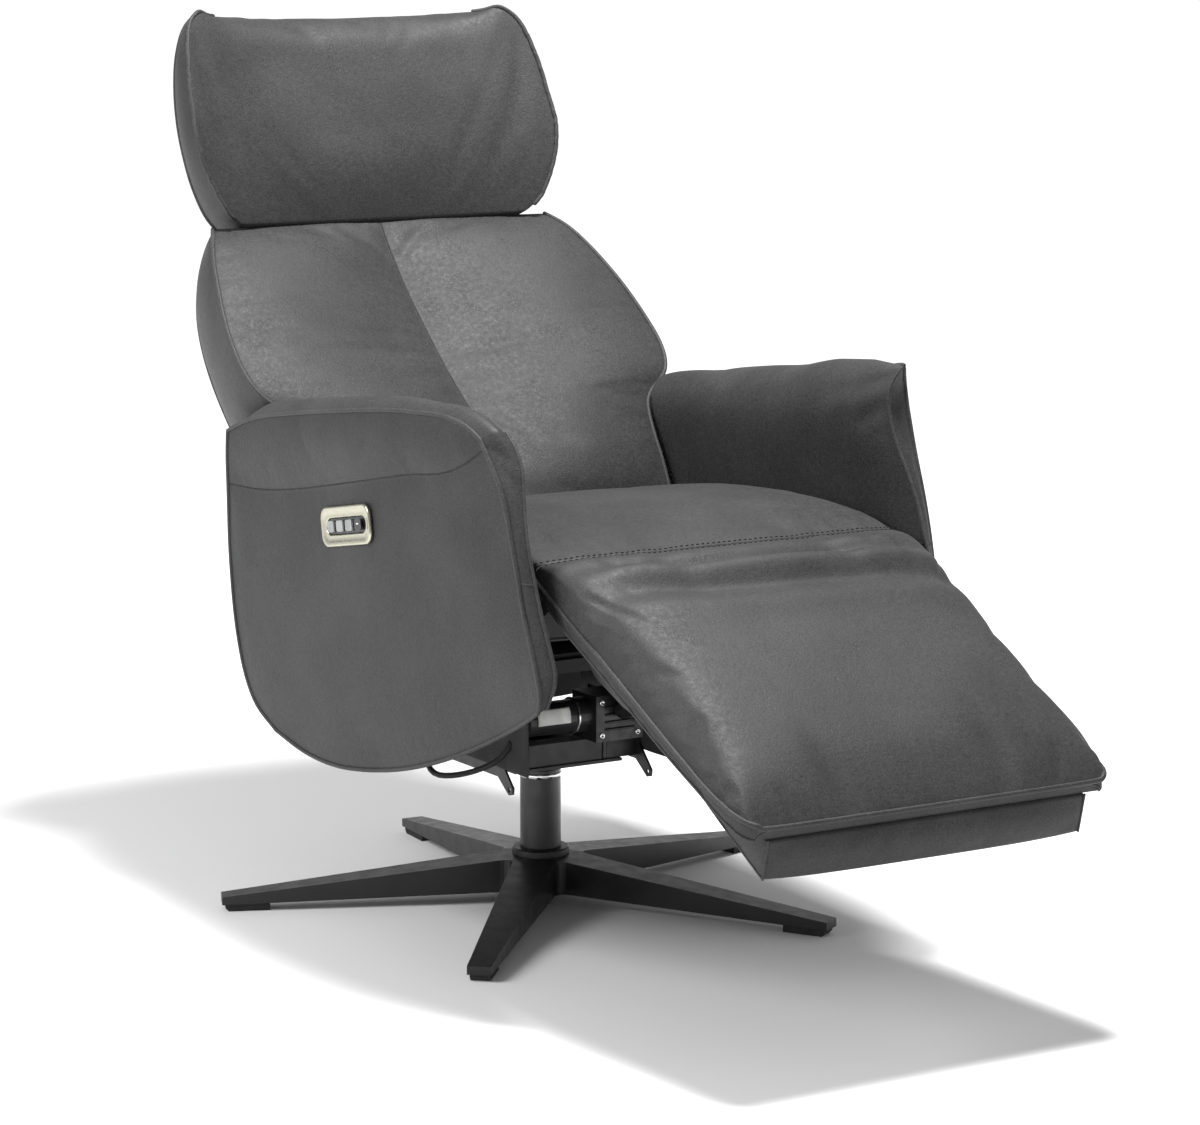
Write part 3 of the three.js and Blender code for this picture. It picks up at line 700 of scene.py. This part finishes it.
def make_arm(side, hand):
    def place(points):
        return from_column(np.asarray(points, float) * (hand, 1, 1))

    corner = ARM_CORNER[hand]
    along, low, high, across = 67, 33, 11, 9
    top = smooth_line([(.305, .225, .573), (.307, .174, .59), (.313, .018, .618), (.315, -.086, .632),
        (.312, -.151, .64), *corner["top"]], along, 2)
    band = smooth_line([(.306, .224, .508), (.305, .15, .511), (.304, .067, .521), (.304, -.046, .541),
        (.302, -.14, .559), *corner["band"]], along, 1)
    bottom = smooth_line([(.298, .12, .221), (.295, .06, .208), (.294, .003, .204), (.29, -.134, .219),
        (.284, -.269, .256), (.277, -.367, .296), (.273, -.432, .328), (.272, -.455, .341)], along, 1)
    front_low = smooth_line([(.272, -.455, .341), (.272, -.461, .354), (.273, -.455, .378),
        (.2735, -.443, .41), (.274, -.43, .44), (.275, -.418, .484), (.276, -.405, .524), *corner["front"]],
        low, 2)
    front_high = smooth_line(corner["ear"], high)
    rear_low = smooth_line([(.298, .12, .221), (.3, .173, .249), (.302, .196, .285), (.303, .207, .317),
        (.305, .222, .414), (.306, .224, .508)], low, 1)
    rear_high = smooth_line([(.306, .224, .508), (.306, .225, .54), (.305, .225, .573)], high)
    inner_top = smooth_line([(.25, .216, .56), (.249, .174, .583), (.247, .018, .612), (.246, -.086, .628),
        (.246, -.151, .636), *corner["inner_top"]], along, 2)
    inner_front = smooth_line([(.262, -.457, .346), (.256, -.466, .38), (.257, -.46, .4), (.26, -.445, .44),
        (.261, -.428, .484), (.2605, -.414, .52), (.255, -.398, .56), *corner["inner_front"]],
        low + high - 1, 1)
    inner_bottom = smooth_line([(.268, .11, .232), (.266, .003, .214), (.264, -.134, .229),
        (.262, -.269, .266), (.262, -.372, .306), (.262, -.457, .346)], along)
    inner_rear = smooth_line([(.268, .11, .232), (.266, .16, .256), (.262, .194, .317), (.256, .208, .414),
        (.252, .213, .512), (.25, .216, .56)], low + high - 1)
    front = np.vstack([front_low, front_high[1:]])
    rear = np.vstack([rear_low, rear_high[1:]])
    over = keyed(along, corner["crest"])
    ahead = keyed(len(front), [(0, (0, -.001, -.001)), (.5, (0, -.003, 0)), (.85, (0, -.003, 0)),
        (1, corner["lip"])])
    under = keyed(along, [(0, (0, .003, -.003)), (.5, (0, 0, -.005)), (1, (0, -.001, -.001))])
    behind = keyed(len(rear), [(0, (0, .003, -.003)), (.5, (0, .007, 0)), (1, (0, .004, .01))])
    panels = [crowned(coons(bottom, band, rear_low, front_low), (.0045, 0, 0), 3),
        crowned(coons(band, top, rear_high, front_high), (.01, 0, .001), 2),
        crowned(coons(inner_bottom, inner_top, inner_rear, inner_front), (-.003, 0, 0)),
        swollen(top, inner_top, across, over), swollen(front, inner_front, across, ahead),
        swollen(bottom, inner_bottom, across, under), swollen(rear, inner_rear, across, behind)]
    seams = (top, band, bottom, front, rear, inner_front, inner_bottom, inner_rear)
    pad = make_pad(f"arm_{side}", place, panels, seams, "carriage", .7,
        (f"arm_pad_{side}", f"arm_panel_{side}", f"arm_board_{side}"), cap=.006, pressure=2.5, slack=.001,
        sharp=.6, fixing=panel_fixing() if hand == RIGHT else ())
    loop = np.vstack([top, front[::-1][1:], bottom[::-1][1:], rear[1:-1]])
    sweep(f"arm_welt_{side}", place(loop), PIPING, "carriage", WELT_PAINTED_HIGHLIGHT, closed=True)
    sweep(f"arm_inner_welt_{side}", place(evenly(inner_front, 90)), EDGE_WELT, "carriage", WELT_PAINTED_HIGHLIGHT)
    # Dark cords of painted shade along the band seam and the cross seam.
    seam_shade_line(f"arm_band_seam_shade_{side}", pad, place(band), "carriage")
    notch = smooth_line([(.2752, -.42, .478), (.268, -.428, .477), (.261, -.431, .476), (.258, -.42, .477),
        (.246, -.37, .479), (.244, -.33, .48)], 40)
    seam_shade_line(f"arm_cross_seam_shade_{side}", pad, place(notch), "carriage", .0009)


def swollen(a, b, steps, bulge):
    """A panel from line a to line b, with a swelling given for each point of the lines."""
    t = np.linspace(0, 1, steps)[None, :, None]
    return a[:, None] * (1 - t) + b[:, None] * t + np.sin(math.pi * t) * bulge[:, None]


def panel_fixing():
    """Lines round the control panel, where the cover is held flat."""
    low, high = box("control_bezel")
    centre, half = (low + high) / 2, (high - low) / 2
    turn = np.linspace(0, 2 * math.pi, 120)
    return [np.stack([np.full(120, high[0] + .001), centre[1] + half[1] * k * np.cos(turn),
        centre[2] + half[2] * k * np.sin(turn)], 1) for k in (.2, .5, .8, 1.1)]


# -------- seat
def over_hinge(place):
    """The firm corners of the two pads, where they hide the hinge arms."""
    return abs(place[0]) > .195 and abs(place[1] - KNEE[1]) < .06


def make_seat():
    rows, columns = count_for(.48), count_for(.486)
    middle = smooth_line([(0, .075, .471), (0, .04, .481), (0, 0.0, .491), (0, -.08, .502), (0, -.15, .508),
        (0, -.23, .512), (0, -.31, .512), (0, -.37, .507), (0, -.412, .4965)], rows, 1)
    edge = smooth_line([(.24, .075, .455), (.243, 0.0, .47), (.243, -.1, .48), (.243, -.2, .484),
        (.242, -.3, .484), (.2395, -.36, .481), (LEG_HALF, -.386, .4775)], rows, 1)
    low_middle = smooth_line([(0, .06, .404), (0, -.1, .404), (0, -.34, .404), (0, -.375, .43),
        (0, -.404, .466)], rows)
    low_edge = smooth_line([(.239, .06, .402), (.242, -.1, .4), (.241, -.34, .4), (.24, -.362, .418),
        (.2385, -.388, .455)], rows)
    top = boxy(middle, edge, columns, 4.5)
    firm = boxy(middle, edge, columns, 9)
    share = np.clip((-.3 - edge[:, 1]) / .06, 0, 1)[:, None, None]
    top = top + (firm - top) * share * (0, 0, 1)
    under = symmetrical(low_middle, low_edge, columns, 3.2)
    under[..., 0] = under[:, -1:, 0] * top[:1, :, 0] / top[0, -1, 0]
    panels = box_panels(top, under, (.0015, 0, 0), 11, (0, 0, 0), (0, .006, 0))
    seams = (edge, mirror(edge), low_edge, mirror(low_edge), top[0], top[-1], under[0], under[-1])
    make_pad("seat_pad", from_column, panels, seams, "carriage", .7, ("seat_cushion",), cap=.012,
        pressure=3.0, slack=.008, held=over_hinge)
    return top[-1]


def make_valance():
    """The skirt of cover cloth that hangs from under the knee seam to a hem ahead of the seat board."""
    columns = count_for(.46)
    across = np.linspace(-1, 1, columns)[:, None]
    line = smooth_line([(.2372, -.409, .46), (.2375, -.395, .44), (.238, -.372, .415),
        (.238, -.357, .3985)], 13)
    outer = np.stack([across * line[None, :, 0], np.broadcast_to(line[:, 1], (columns, 13)),
        np.broadcast_to(line[:, 2], (columns, 13))], -1)
    outer[..., 1] += .0016 * np.sin(across * 21) * np.linspace(0, 1, 13)[None]
    panels = thin(outer, outer + (0, .0026, .0018))
    skirt = sewn("seat_valance", [from_column(panel) for panel in panels], "carriage", FABRIC)
    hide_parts("front_valance")
    refine(skirt)
    for side, hand in (("left", LEFT), ("right", RIGHT)):
        upper = smooth_line([(.2356, -.372, .44), (.2356, -.398, .462), (.2356, -.4365, .4645)], 17)
        lower = smooth_line([(.2356, -.3575, .3985), (.2356, -.398, .4285), (.2356, -.4385, .4565)], 17)
        flap = bridge(upper, lower, 7)
        panels = [from_column(panel * (hand, 1, 1)) for panel in thin(flap, flap + (CLOTH_THICK, 0, 0))]
        flap_piece = refine(sewn(f"valance_flap_{side}", panels, "carriage", FABRIC))
    sweep("valance_hem", from_column(outer[:, -1] + (0, .001, -.0005)), .0022, "carriage", WELT_PAINTED_HIGHLIGHT)


# -------- leg rest
def board_top(y):
    """The height of the leg rest board's upper face, in front of the column by y."""
    return .405 + .432 * (y + .47) + .0135


def make_leg_pad(knee_row):
    rows, columns = count_for(.47), knee_row.shape[0]
    middle = smooth_line([(0, -.412, .4965), (0, -.436, .499), (0, -.47, .492), (0, -.5, .481),
        (0, -.54, .459), (0, -.6, .424), (0, -.66, .389), (0, -.72, .352), (0, -.77, .319),
        (0, -.798, .294), (0, -.809, .2765)], rows, 1)
    edge = smooth_line([(LEG_HALF, -.386, .4775), (LEG_HALF, -.41, .4655), (LEG_HALF, -.44, .451),
        (LEG_HALF, -.523, .411), (LEG_HALF, -.603, .371), (LEG_HALF, -.682, .332), (LEG_HALF, -.758, .299),
        (.2345, -.785, .289), (.23, -.8, .284), (.222, -.809, .281)], rows)
    on_board = [(0, y, board_top(y)) for y in (-.5, -.6, -.79, -.802)]
    low_middle = smooth_line([(0, -.407, .466), (0, -.44, .446), *on_board], rows)
    low_edge = smooth_line([(.2385, -.392, .4615), (.239, -.41, .4535), (.239, -.456, .428),
        (.239, -.524, .396), (.239, -.589, .365), (.239, -.644, .338), (.2385, -.721, .303),
        (.236, -.775, .277), (.231, -.794, .268), (.222, -.802, .264)], rows)
    top = boxy(middle, edge, columns, 5.5)
    firm = boxy(middle, edge, columns, 9)
    share = np.clip((edge[:, 1] + .5) / .06, 0, 1)[:, None, None]
    top = top + (firm - top) * share * (0, 0, 1)
    top[0] = knee_row
    under = symmetrical(low_middle, low_edge, columns, 4.0)
    under[..., 0] = under[:, -1:, 0] * knee_row[None, :, 0] / knee_row[-1, 0]
    panels = box_panels(top, under, (.0015, 0, 0), 5, (0, -.002, 0), (0, 0, 0))
    pad = sewn("leg_pad", [from_column(panel) for panel in panels], None, FABRIC)
    seams = [from_column(line) for line in (edge, mirror(edge), low_edge, mirror(low_edge), top[0], top[-1],
        under[0], under[-1])]
    plump(pad, seams, cap=.012, pressure=3.0, slack=.008, held=over_hinge)
    push(pad, knee_folds)
    bend(pad)
    refine(pad)
    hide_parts("legrest_cushion")
    welt = np.vstack([edge, top[-1][::-1][1:-1], mirror(edge)[::-1]])
    start = np.array([(.2395, -.374, .4815), (.238, -.38, .48)])
    welt = np.vstack([start, welt, mirror(start)[::-1]])
    bend(sweep("leg_welt", from_column(evenly(welt, 320)), .003, None, WELT_PAINTED_HIGHLIGHT))
    hem = np.vstack([low_edge[4:], under[-1][::-1][1:-1], mirror(low_edge)[::-1][:-4]])
    bend(sweep("leg_border_hem", from_column(evenly(hem, 300)), HEM, None, WELT_PAINTED_HIGHLIGHT))
    return pad


def knee_folds(place, normal):
    """Soft folds of the cover across the knee, strongest in the middle and gone at the welts."""
    if normal[2] < .3:
        return 0.0
    across = abs(place[0]) / LEG_HALF
    skew = .01 * math.sin(place[0] * 9.0 + .6) - .004 * math.sin(place[0] * 23.0)
    rise = 0.0
    for at, width, height in ((-.438, .011, .004), (-.462, .01, -.0095), (-.488, .014, .009),
                              (-.522, .015, -.011), (-.556, .018, .003)):
        rise += height * math.exp(-((place[1] - at + skew) / width) ** 2)
    return rise * max(0.0, 1 - across**4)


def bend(obj):
    """Bakes the object's placement into its mesh. The cover's bend at the knee, from the seat's seam to where it
    lies on the leg rest, is not made: the two places worked out for it are not used.
    """
    start = from_column((0, KNEE[1] + .012, KNEE[2] + .024))
    end = from_column((0, KNEE[1] - .075, KNEE[2] - .012))
    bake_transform(obj)


def make_leg_box():
    half = .204
    columns = count_for(2 * half)
    rows = count_for(.27)

    def line(x, points):
        return smooth_line([(x, y, z) for y, z in points], rows)

    def under_board(y):
        return y, board_top(y) - BOARD_THICK

    top_points = [under_board(y) for y in (-.537, -.67, -.8)]
    low_points = [(-.546, .3625), (-.62, .3185), (-.7, .2705), (-.79, .2195)]
    top = symmetrical(line(0, top_points), line(half, top_points), columns, 2)
    low = symmetrical(line(0, low_points) - (0, 0, .004), line(half, low_points), columns, 4)
    panels = box_panels(top, low, (.003, 0, 0), 7, (0, -.006, 0), (0, 0, 0))
    seams = (top[:, 0], top[:, -1], low[:, 0], low[:, -1], top[0], top[-1], low[0], low[-1],
        np.linspace(top[-1][0], low[-1][0], 7), np.linspace(top[-1][-1], low[-1][-1], 7))
    make_pad("leg_box_cover", from_column, panels, seams, "leg_rest", .4, ("legrest_box",), cap=.004,
        pressure=2.0, slack=.006)
    for side, column in (("left", -1), ("right", 0)):
        corner = np.linspace(top[-1][column], low[-1][column], 12)
        sweep(f"leg_box_corner_seam_{side}", from_column(corner), .0014, "leg_rest", WELT_PAINTED_HIGHLIGHT)
        sweep(f"leg_box_edge_seam_{side}", from_column(low[:, column]), .0012, "leg_rest", WELT_PAINTED_HIGHLIGHT)


# -------- stitches
def make_stitches(pad, knee_row):
    """Two rows of topstitching along the knee seam, laid on the finished seat pad and leg pad."""
    verts, faces = [], []
    now = bpy.context.evaluated_depsgraph_get()
    for cover, ahead in ((bpy.data.objects["seat_pad"], STITCH_GAP), (pad, -STITCH_GAP)):
        surface = BVHTree.FromObject(cover, now)
        line = evenly(knee_row + (0, ahead, 0), 74)
        for i in range(2, len(line) - 3):
            p, q = line[i], line[i] + (line[i + 1] - line[i]) * .66
            ends = []
            for point in (p, q):
                at = from_column(point)
                hit = surface.ray_cast(Vector(at) + Vector((0, 0, .05)), Vector((0, 0, -1)))
                if hit[0] is not None:
                    ends.append(np.array(hit[0]))
            if len(ends) == 2:
                add_stitch(verts, faces, ends[0], ends[1])
    mesh = mesh_of("knee_topstitch", verts, faces)
    return new_object("knee_topstitch", mesh, "carriage", THREAD_AND_SEAM_SHADE)


def add_stitch(verts, faces, a, b, radius=.0007):
    """One stitch: a short thread that dips into the cover at both ends."""
    rings = ((0.0, .35, -.0006), (.15, .9, 0.0), (.5, 1.0, .0004), (.85, .9, 0.0), (1.0, .35, -.0006))
    forward = (b - a) / np.linalg.norm(b - a)
    sideways = np.cross(forward, (0, 0, 1.0))
    sideways /= np.linalg.norm(sideways)
    upward = np.cross(sideways, forward)
    start = len(verts)
    for share, thick, lift in rings:
        centre = a + (b - a) * share + upward * (lift + radius * .3)
        for k in range(6):
            turn = math.pi * k / 3
            verts.append(centre + radius * thick * (sideways * math.cos(turn) + upward * math.sin(turn)))
    for a in range(start, start + 6 * (len(rings) - 1), 6):
        for k in range(6):
            n = (k + 1) % 6
            faces.append((a + k, a + n, a + 6 + n, a + 6 + k))
    faces.append(tuple(start + k for k in reversed(range(6))))
    faces.append(tuple(start + (len(rings) - 1) * 6 + k for k in range(6)))


# -------- control panel
def rounded_loop(w, h, r, steps=12):
    points = []
    x, y = w / 2 - r, h / 2 - r
    for cx, cy, start in ((x, y, 0), (-x, y, 90), (-x, -y, 180), (x, -y, 270)):
        for i in range(steps + 1):
            a = math.radians(start + 90 * i / steps)
            points.append((cx + r * math.cos(a), cy + r * math.sin(a)))
    return np.array(points)


def make_controls():
    low, high = box("control_bezel")
    centre = (low + high) / 2
    back = high[0]
    lean = math.radians(10)
    rearward = np.array([0, math.cos(lean), -math.sin(lean)])
    upward = np.array([0, math.sin(lean), math.cos(lean)])
    w, h = .12, .047
    # (width, height, corner radius, height above the cover)
    rings = [(w - .003, h - .003, .013, -.0006), (w, h, .0142, .0012), (w, h, .0142, .0034),
        (w - .0016, h - .0016, .0136, .0047), (w - .0045, h - .0045, .0128, .005),
        (w - .011, h - .012, .0118, .004), (w - .018, h - .021, .0116, .0031),
        (w - .0205, h - .0245, .011, .0034), (w - .0225, h - .0265, .0101, .0033),
        (w - .0236, h - .0276, .0096, .0024), (w - .0238, h - .0278, .0095, -.0006)]
    verts = []
    for width, height, radius, above in rings:
        for a, b in rounded_loop(width, height, min(radius, height / 2 - 1e-4)):
            verts.append(tuple(np.array([back - above, centre[1], centre[2]]) + rearward * a + upward * b))
    count = len(verts) // len(rings)
    faces = []
    for i in range(len(rings)):
        n = (i + 1) % len(rings)
        for k in range(count):
            l = (k + 1) % count
            faces.append((i * count + k, i * count + l, n * count + l, n * count + k))
    mesh = mesh_of("control_trim", verts, faces)
    clean(mesh, 1e-6)
    trim = new_object("control_trim", mesh, "carriage", CHAMPAGNE)
    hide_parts("control_bezel")
    soften("control_bed", .0003)
    for i in range(1, 5):
        soften(f"button_{i}", .0011)
    low, high = box("button_4")
    key = (low + high) / 2
    rounded_block("key_mark", (.0006, .0052, .0013), (low[0] - .0001, key[1], key[2] + .001), "key_4",
        MARKS, .00025, (-lean, 0, 0), 2)


# -------- mechanism details
def make_mechanism():
    low, high = box("leg_motor")
    radius = .0202
    axis = np.array([0, (low[1] + high[1]) / 2, (low[2] + high[2]) / 2])
    label_from, label_to = low[0] + .013, low[0] + .058
    rows = []
    for depth in (.0004, .001):
        turn = np.radians(np.linspace(168, 222, 13))
        ring = np.stack([np.zeros(13), axis[1] + (radius + depth) * np.cos(turn),
            axis[2] - (radius + depth) * np.sin(turn)], 1)
        rows.append(np.stack([ring + (x, 0, 0) for x in np.linspace(label_from, label_to, 9)], 0))
    sewn("motor_label", thin(*rows), "carriage", MARKS)
    end = np.array([high[0] - .0195, axis[1], axis[2]])
    turned("motor_end_ring", [(.0206, 0), (.0222, 0), (.0226, .0006), (.0226, .0016), (.0222, .0022),
        (.0206, .0022), (.0206, 0)], end, (1, 0, 0), "carriage", CHROME)
    low, high = box("cross_beam_front")
    half = (high - low) / 2
    centre = (low + high) / 2
    for i, x in enumerate((-.062, .052)):
        loop = rounded_loop(2 * half[1] + .003, 2 * half[2] + .003, .003, 5)
        points = [(centre[0] + x, centre[1] + a, centre[2] + b) for a, b in loop]
        sweep(f"cable_tie_{i + 1}", evenly(np.array(points + points[:1]), 60), .0024, "carriage", BLACK,
            closed=True, flat=.4, out=(0, 0, 1))
        rounded_block(f"cable_tie_head_{i + 1}", (.007, .006, .0055), (centre[0] + x,
            centre[1] - half[1] * .3, low[2] - .0045), "carriage", BLACK, .0012)
    for node in ("cross_beam_front", "cross_beam_rear"):
        soften(node, .0016)
    pairs = [f"{kind}_{side}" for kind in ("riser", "seat_side_plate", "legrest_arm",
        "headrest_strap") for side in ("left", "right")]
    for node in pairs + ["swivel_plate", "legrest_fork", "back_lever"]:
        soften(node, .0006)
    for node in ("leg_gearbox", "back_gearbox", "control_box"):
        soften(node, .004)
        block_details(node)


def make_linings():
    """Black cloth laced over the openings of the two risers."""
    for side, hand in (("left", LEFT), ("right", RIGHT)):
        low, high = box(f"riser_{side}")
        face = (high[0] if hand == LEFT else low[0]) + hand * .0012
        y, z = np.linspace(low[1] + .006, high[1] - .006, 23), np.linspace(low[2] + .03, high[2] - .004, 15)
        grid = np.stack(np.broadcast_arrays(face, y[:, None], z[None, :]), -1)
        slack = hand * (.0012 + .001 * np.sin(y * 130)[:, None] * np.sin(z * 45)[None])
        panels = thin(grid, grid + slack[..., None] * (1, 0, 0))
        cloth = refine(sewn(f"riser_cloth_{side}", panels, "carriage", LINING))


def make_dust_cloth():
    """Black cloth hung between the arms behind the mechanism."""
    across, share = np.linspace(-.258, .258, 45), np.linspace(0, 1, 15)[None]
    hem = (.207 + .035 * (across / .258)**4)[:, None]
    grid = np.stack(np.broadcast_arrays(across[:, None], .168, .348 * (1 - share) + hem * share), -1)
    grid[..., 1] += .004 * np.sin(across * 31)[:, None] * np.linspace(.2, 1, 15)[None]
    panels = [from_column(panel) for panel in thin(grid, grid + (0, CLOTH_THICK, 0))]
    cloth = refine(sewn("dust_cloth", panels, "carriage", LINING))


def block_details(node):
    """Cooling ribs and four screws on a moulded housing."""
    low, high = box(node)
    size = high - low
    for i in range(4):
        z = low[2] + size[2] * (.26 + .16 * i)
        rounded_block(f"{node}_rib_{i + 1}", (size[0] * .62, .0034, .003),
            ((low[0] + high[0]) / 2, low[1] - .0008, z), "carriage", BLACK, .0011)
    for i, (a, b) in enumerate(((.12, .14), (.88, .14), (.12, .86), (.88, .86))):
        head = (low[0] + size[0] * a, low[1] - .0002, low[2] + size[2] * b)
        turned(f"{node}_screw_{i + 1}", [(0, -.0002), (.0012, 0), (.0016, .0012), (.003, .0016),
            (.0036, .0008), (.0036, -.0012), (0, -.0012)], head, (0, -1, 0), "carriage", CHROME,
            20)


def make_base():
    low, high = box("column_tube")
    foot = ((low[0] + high[0]) / 2, (low[1] + high[1]) / 2, high[2] - .0095)
    turned("column_flange", [(.0251, 0), (.0258, .0006), (.0258, .0052), (.0252, .006), (.024, .0066),
        (.024, .0094), (.0225, .01), (.0225, .0088), (.0251, 0)], foot, (0, 0, 1), "base", CHROME)
    soften("star_base", .0022, 22)
    for i in range(1, 6):
        soften(f"glide_{i}", .0008)
    soften("column_collar", .001)
    soften("legrest_board", .0025)


# -------- finishes of the CAD nodes that show
FINISHES = {"black_steel": STEEL_COAT, "base_metal": BASE_COAT, "bright_steel": CHROME,
    "black_plastic": BLACK, "grey_keys": KEYS, "nickel_trim": CHAMPAGNE, "plywood": WOOD, "rubber": RUBBER,
    "upholstery": FABRIC,}
SPECIAL = {"legrest_board": FABRIC, "seat_board": LINING, "seat_webbing": LINING, "arm_spacer_left": LINING,
    "arm_spacer_right": LINING, "motor_cable": RUBBER, "button_4": BLACK, "column_tube": BASE_COAT,
    "arm_board_left": LINING, "arm_board_right": LINING,}


def finish_nodes():
    slots = {part["node"]: part["material_slot"] for part in frame["record"]["subparts"]}
    for name, obj in frame["nodes"].items():
        finish = SPECIAL.get(name) or FINISHES[slots[name]]
        obj.data.materials.clear()
        obj.data.materials.append(finish)


# -------- floor, light and camera
def make_stage():
    reach = 200.0
    corners = [(-reach, -reach, 0), (reach, -reach, 0), (reach, reach, 0), (-reach, reach, 0)]
    mesh = mesh_of("floor", corners, [(0, 1, 2, 3)])
    floor = bpy.data.objects.new("floor", mesh)
    bpy.context.scene.collection.objects.link(floor)
    p = Paint("pale_floor_painted_glow", (.9, .9, .9), .7, Specular_IOR_Level=.1)
    # Painted light: the floor glows, from none within 0.9 m of its middle up to full at 3.2 m, so that the far
    # floor reads white.
    away_from_chair = p.node("ShaderNodeVectorMath", operation="LENGTH")
    p.link(p.place, away_from_chair.inputs[0])
    painted_floor_glow = p.node("ShaderNodeMapRange", interpolation_type="SMOOTHSTEP")
    for socket, value in (("From Min", .9), ("From Max", 3.2), ("To Min", 0.0), ("To Max", .66)):
        painted_floor_glow.inputs[socket].default_value = value
    p.link(away_from_chair.outputs["Value"], painted_floor_glow.inputs["Value"])
    p.shader.inputs["Emission Color"].default_value = (1, 1, 1, 1)
    p.link(painted_floor_glow.outputs["Result"], p.shader.inputs["Emission Strength"])
    mesh.materials.append(p.finish(p.ramp(p.noise(3.0, 2.0), .895, .905)))
    world = bpy.context.scene.world or bpy.data.worlds.new("studio")
    bpy.context.scene.world = world
    world.use_nodes = True
    sky = world.node_tree.nodes["Background"]
    sky.inputs["Color"].default_value = (1, 1, 1, 1)
    sky.inputs["Strength"].default_value = .46
    middle = from_column((0, -.05, .45))
    for name, direction, size, power in (("overhead", (.08, -.1, 1.0), .5, 185),
                                         ("left_side", (-1.25, .15, .75), 1.5, 66)):
        data = bpy.data.lights.new(name, "AREA")
        data.energy = power
        data.size = size
        light = bpy.data.objects.new(name, data)
        bpy.context.scene.collection.objects.link(light)
        away = Vector(direction).normalized()
        light.location = Vector(middle) + away * 3.0
        light.rotation_mode = "QUATERNION"
        light.rotation_quaternion = away.to_track_quat("Z", "Y")


def make_camera():
    data = bpy.data.cameras.new("camera")
    camera = bpy.data.objects.new("camera", data)
    bpy.context.scene.collection.objects.link(camera)
    data.sensor_width = 36
    data.lens = 118.39
    data.clip_end = 500
    camera.location = from_column((-2.3944, -4.0487, 1.2107))
    camera.rotation_mode = "QUATERNION"
    camera.rotation_quaternion = Vector((.515, .8409, -.1665)).to_track_quat("-Z", "Y")
    bpy.context.scene.camera = camera


# -------- assembly
make_camera()
finish_nodes()
make_base()
make_controls()
make_mechanism()
make_linings()
make_dust_cloth()
make_back_rest()
make_head_rest()
for arm_side, arm_hand in (("left", LEFT), ("right", RIGHT)):
    make_arm(arm_side, arm_hand)
knee_line = make_seat()
make_valance()
leg_pad = make_leg_pad(knee_line)
make_leg_box()
make_stitches(leg_pad, knee_line)
make_stage()
bpy.context.scene.view_settings.view_transform = "Standard"
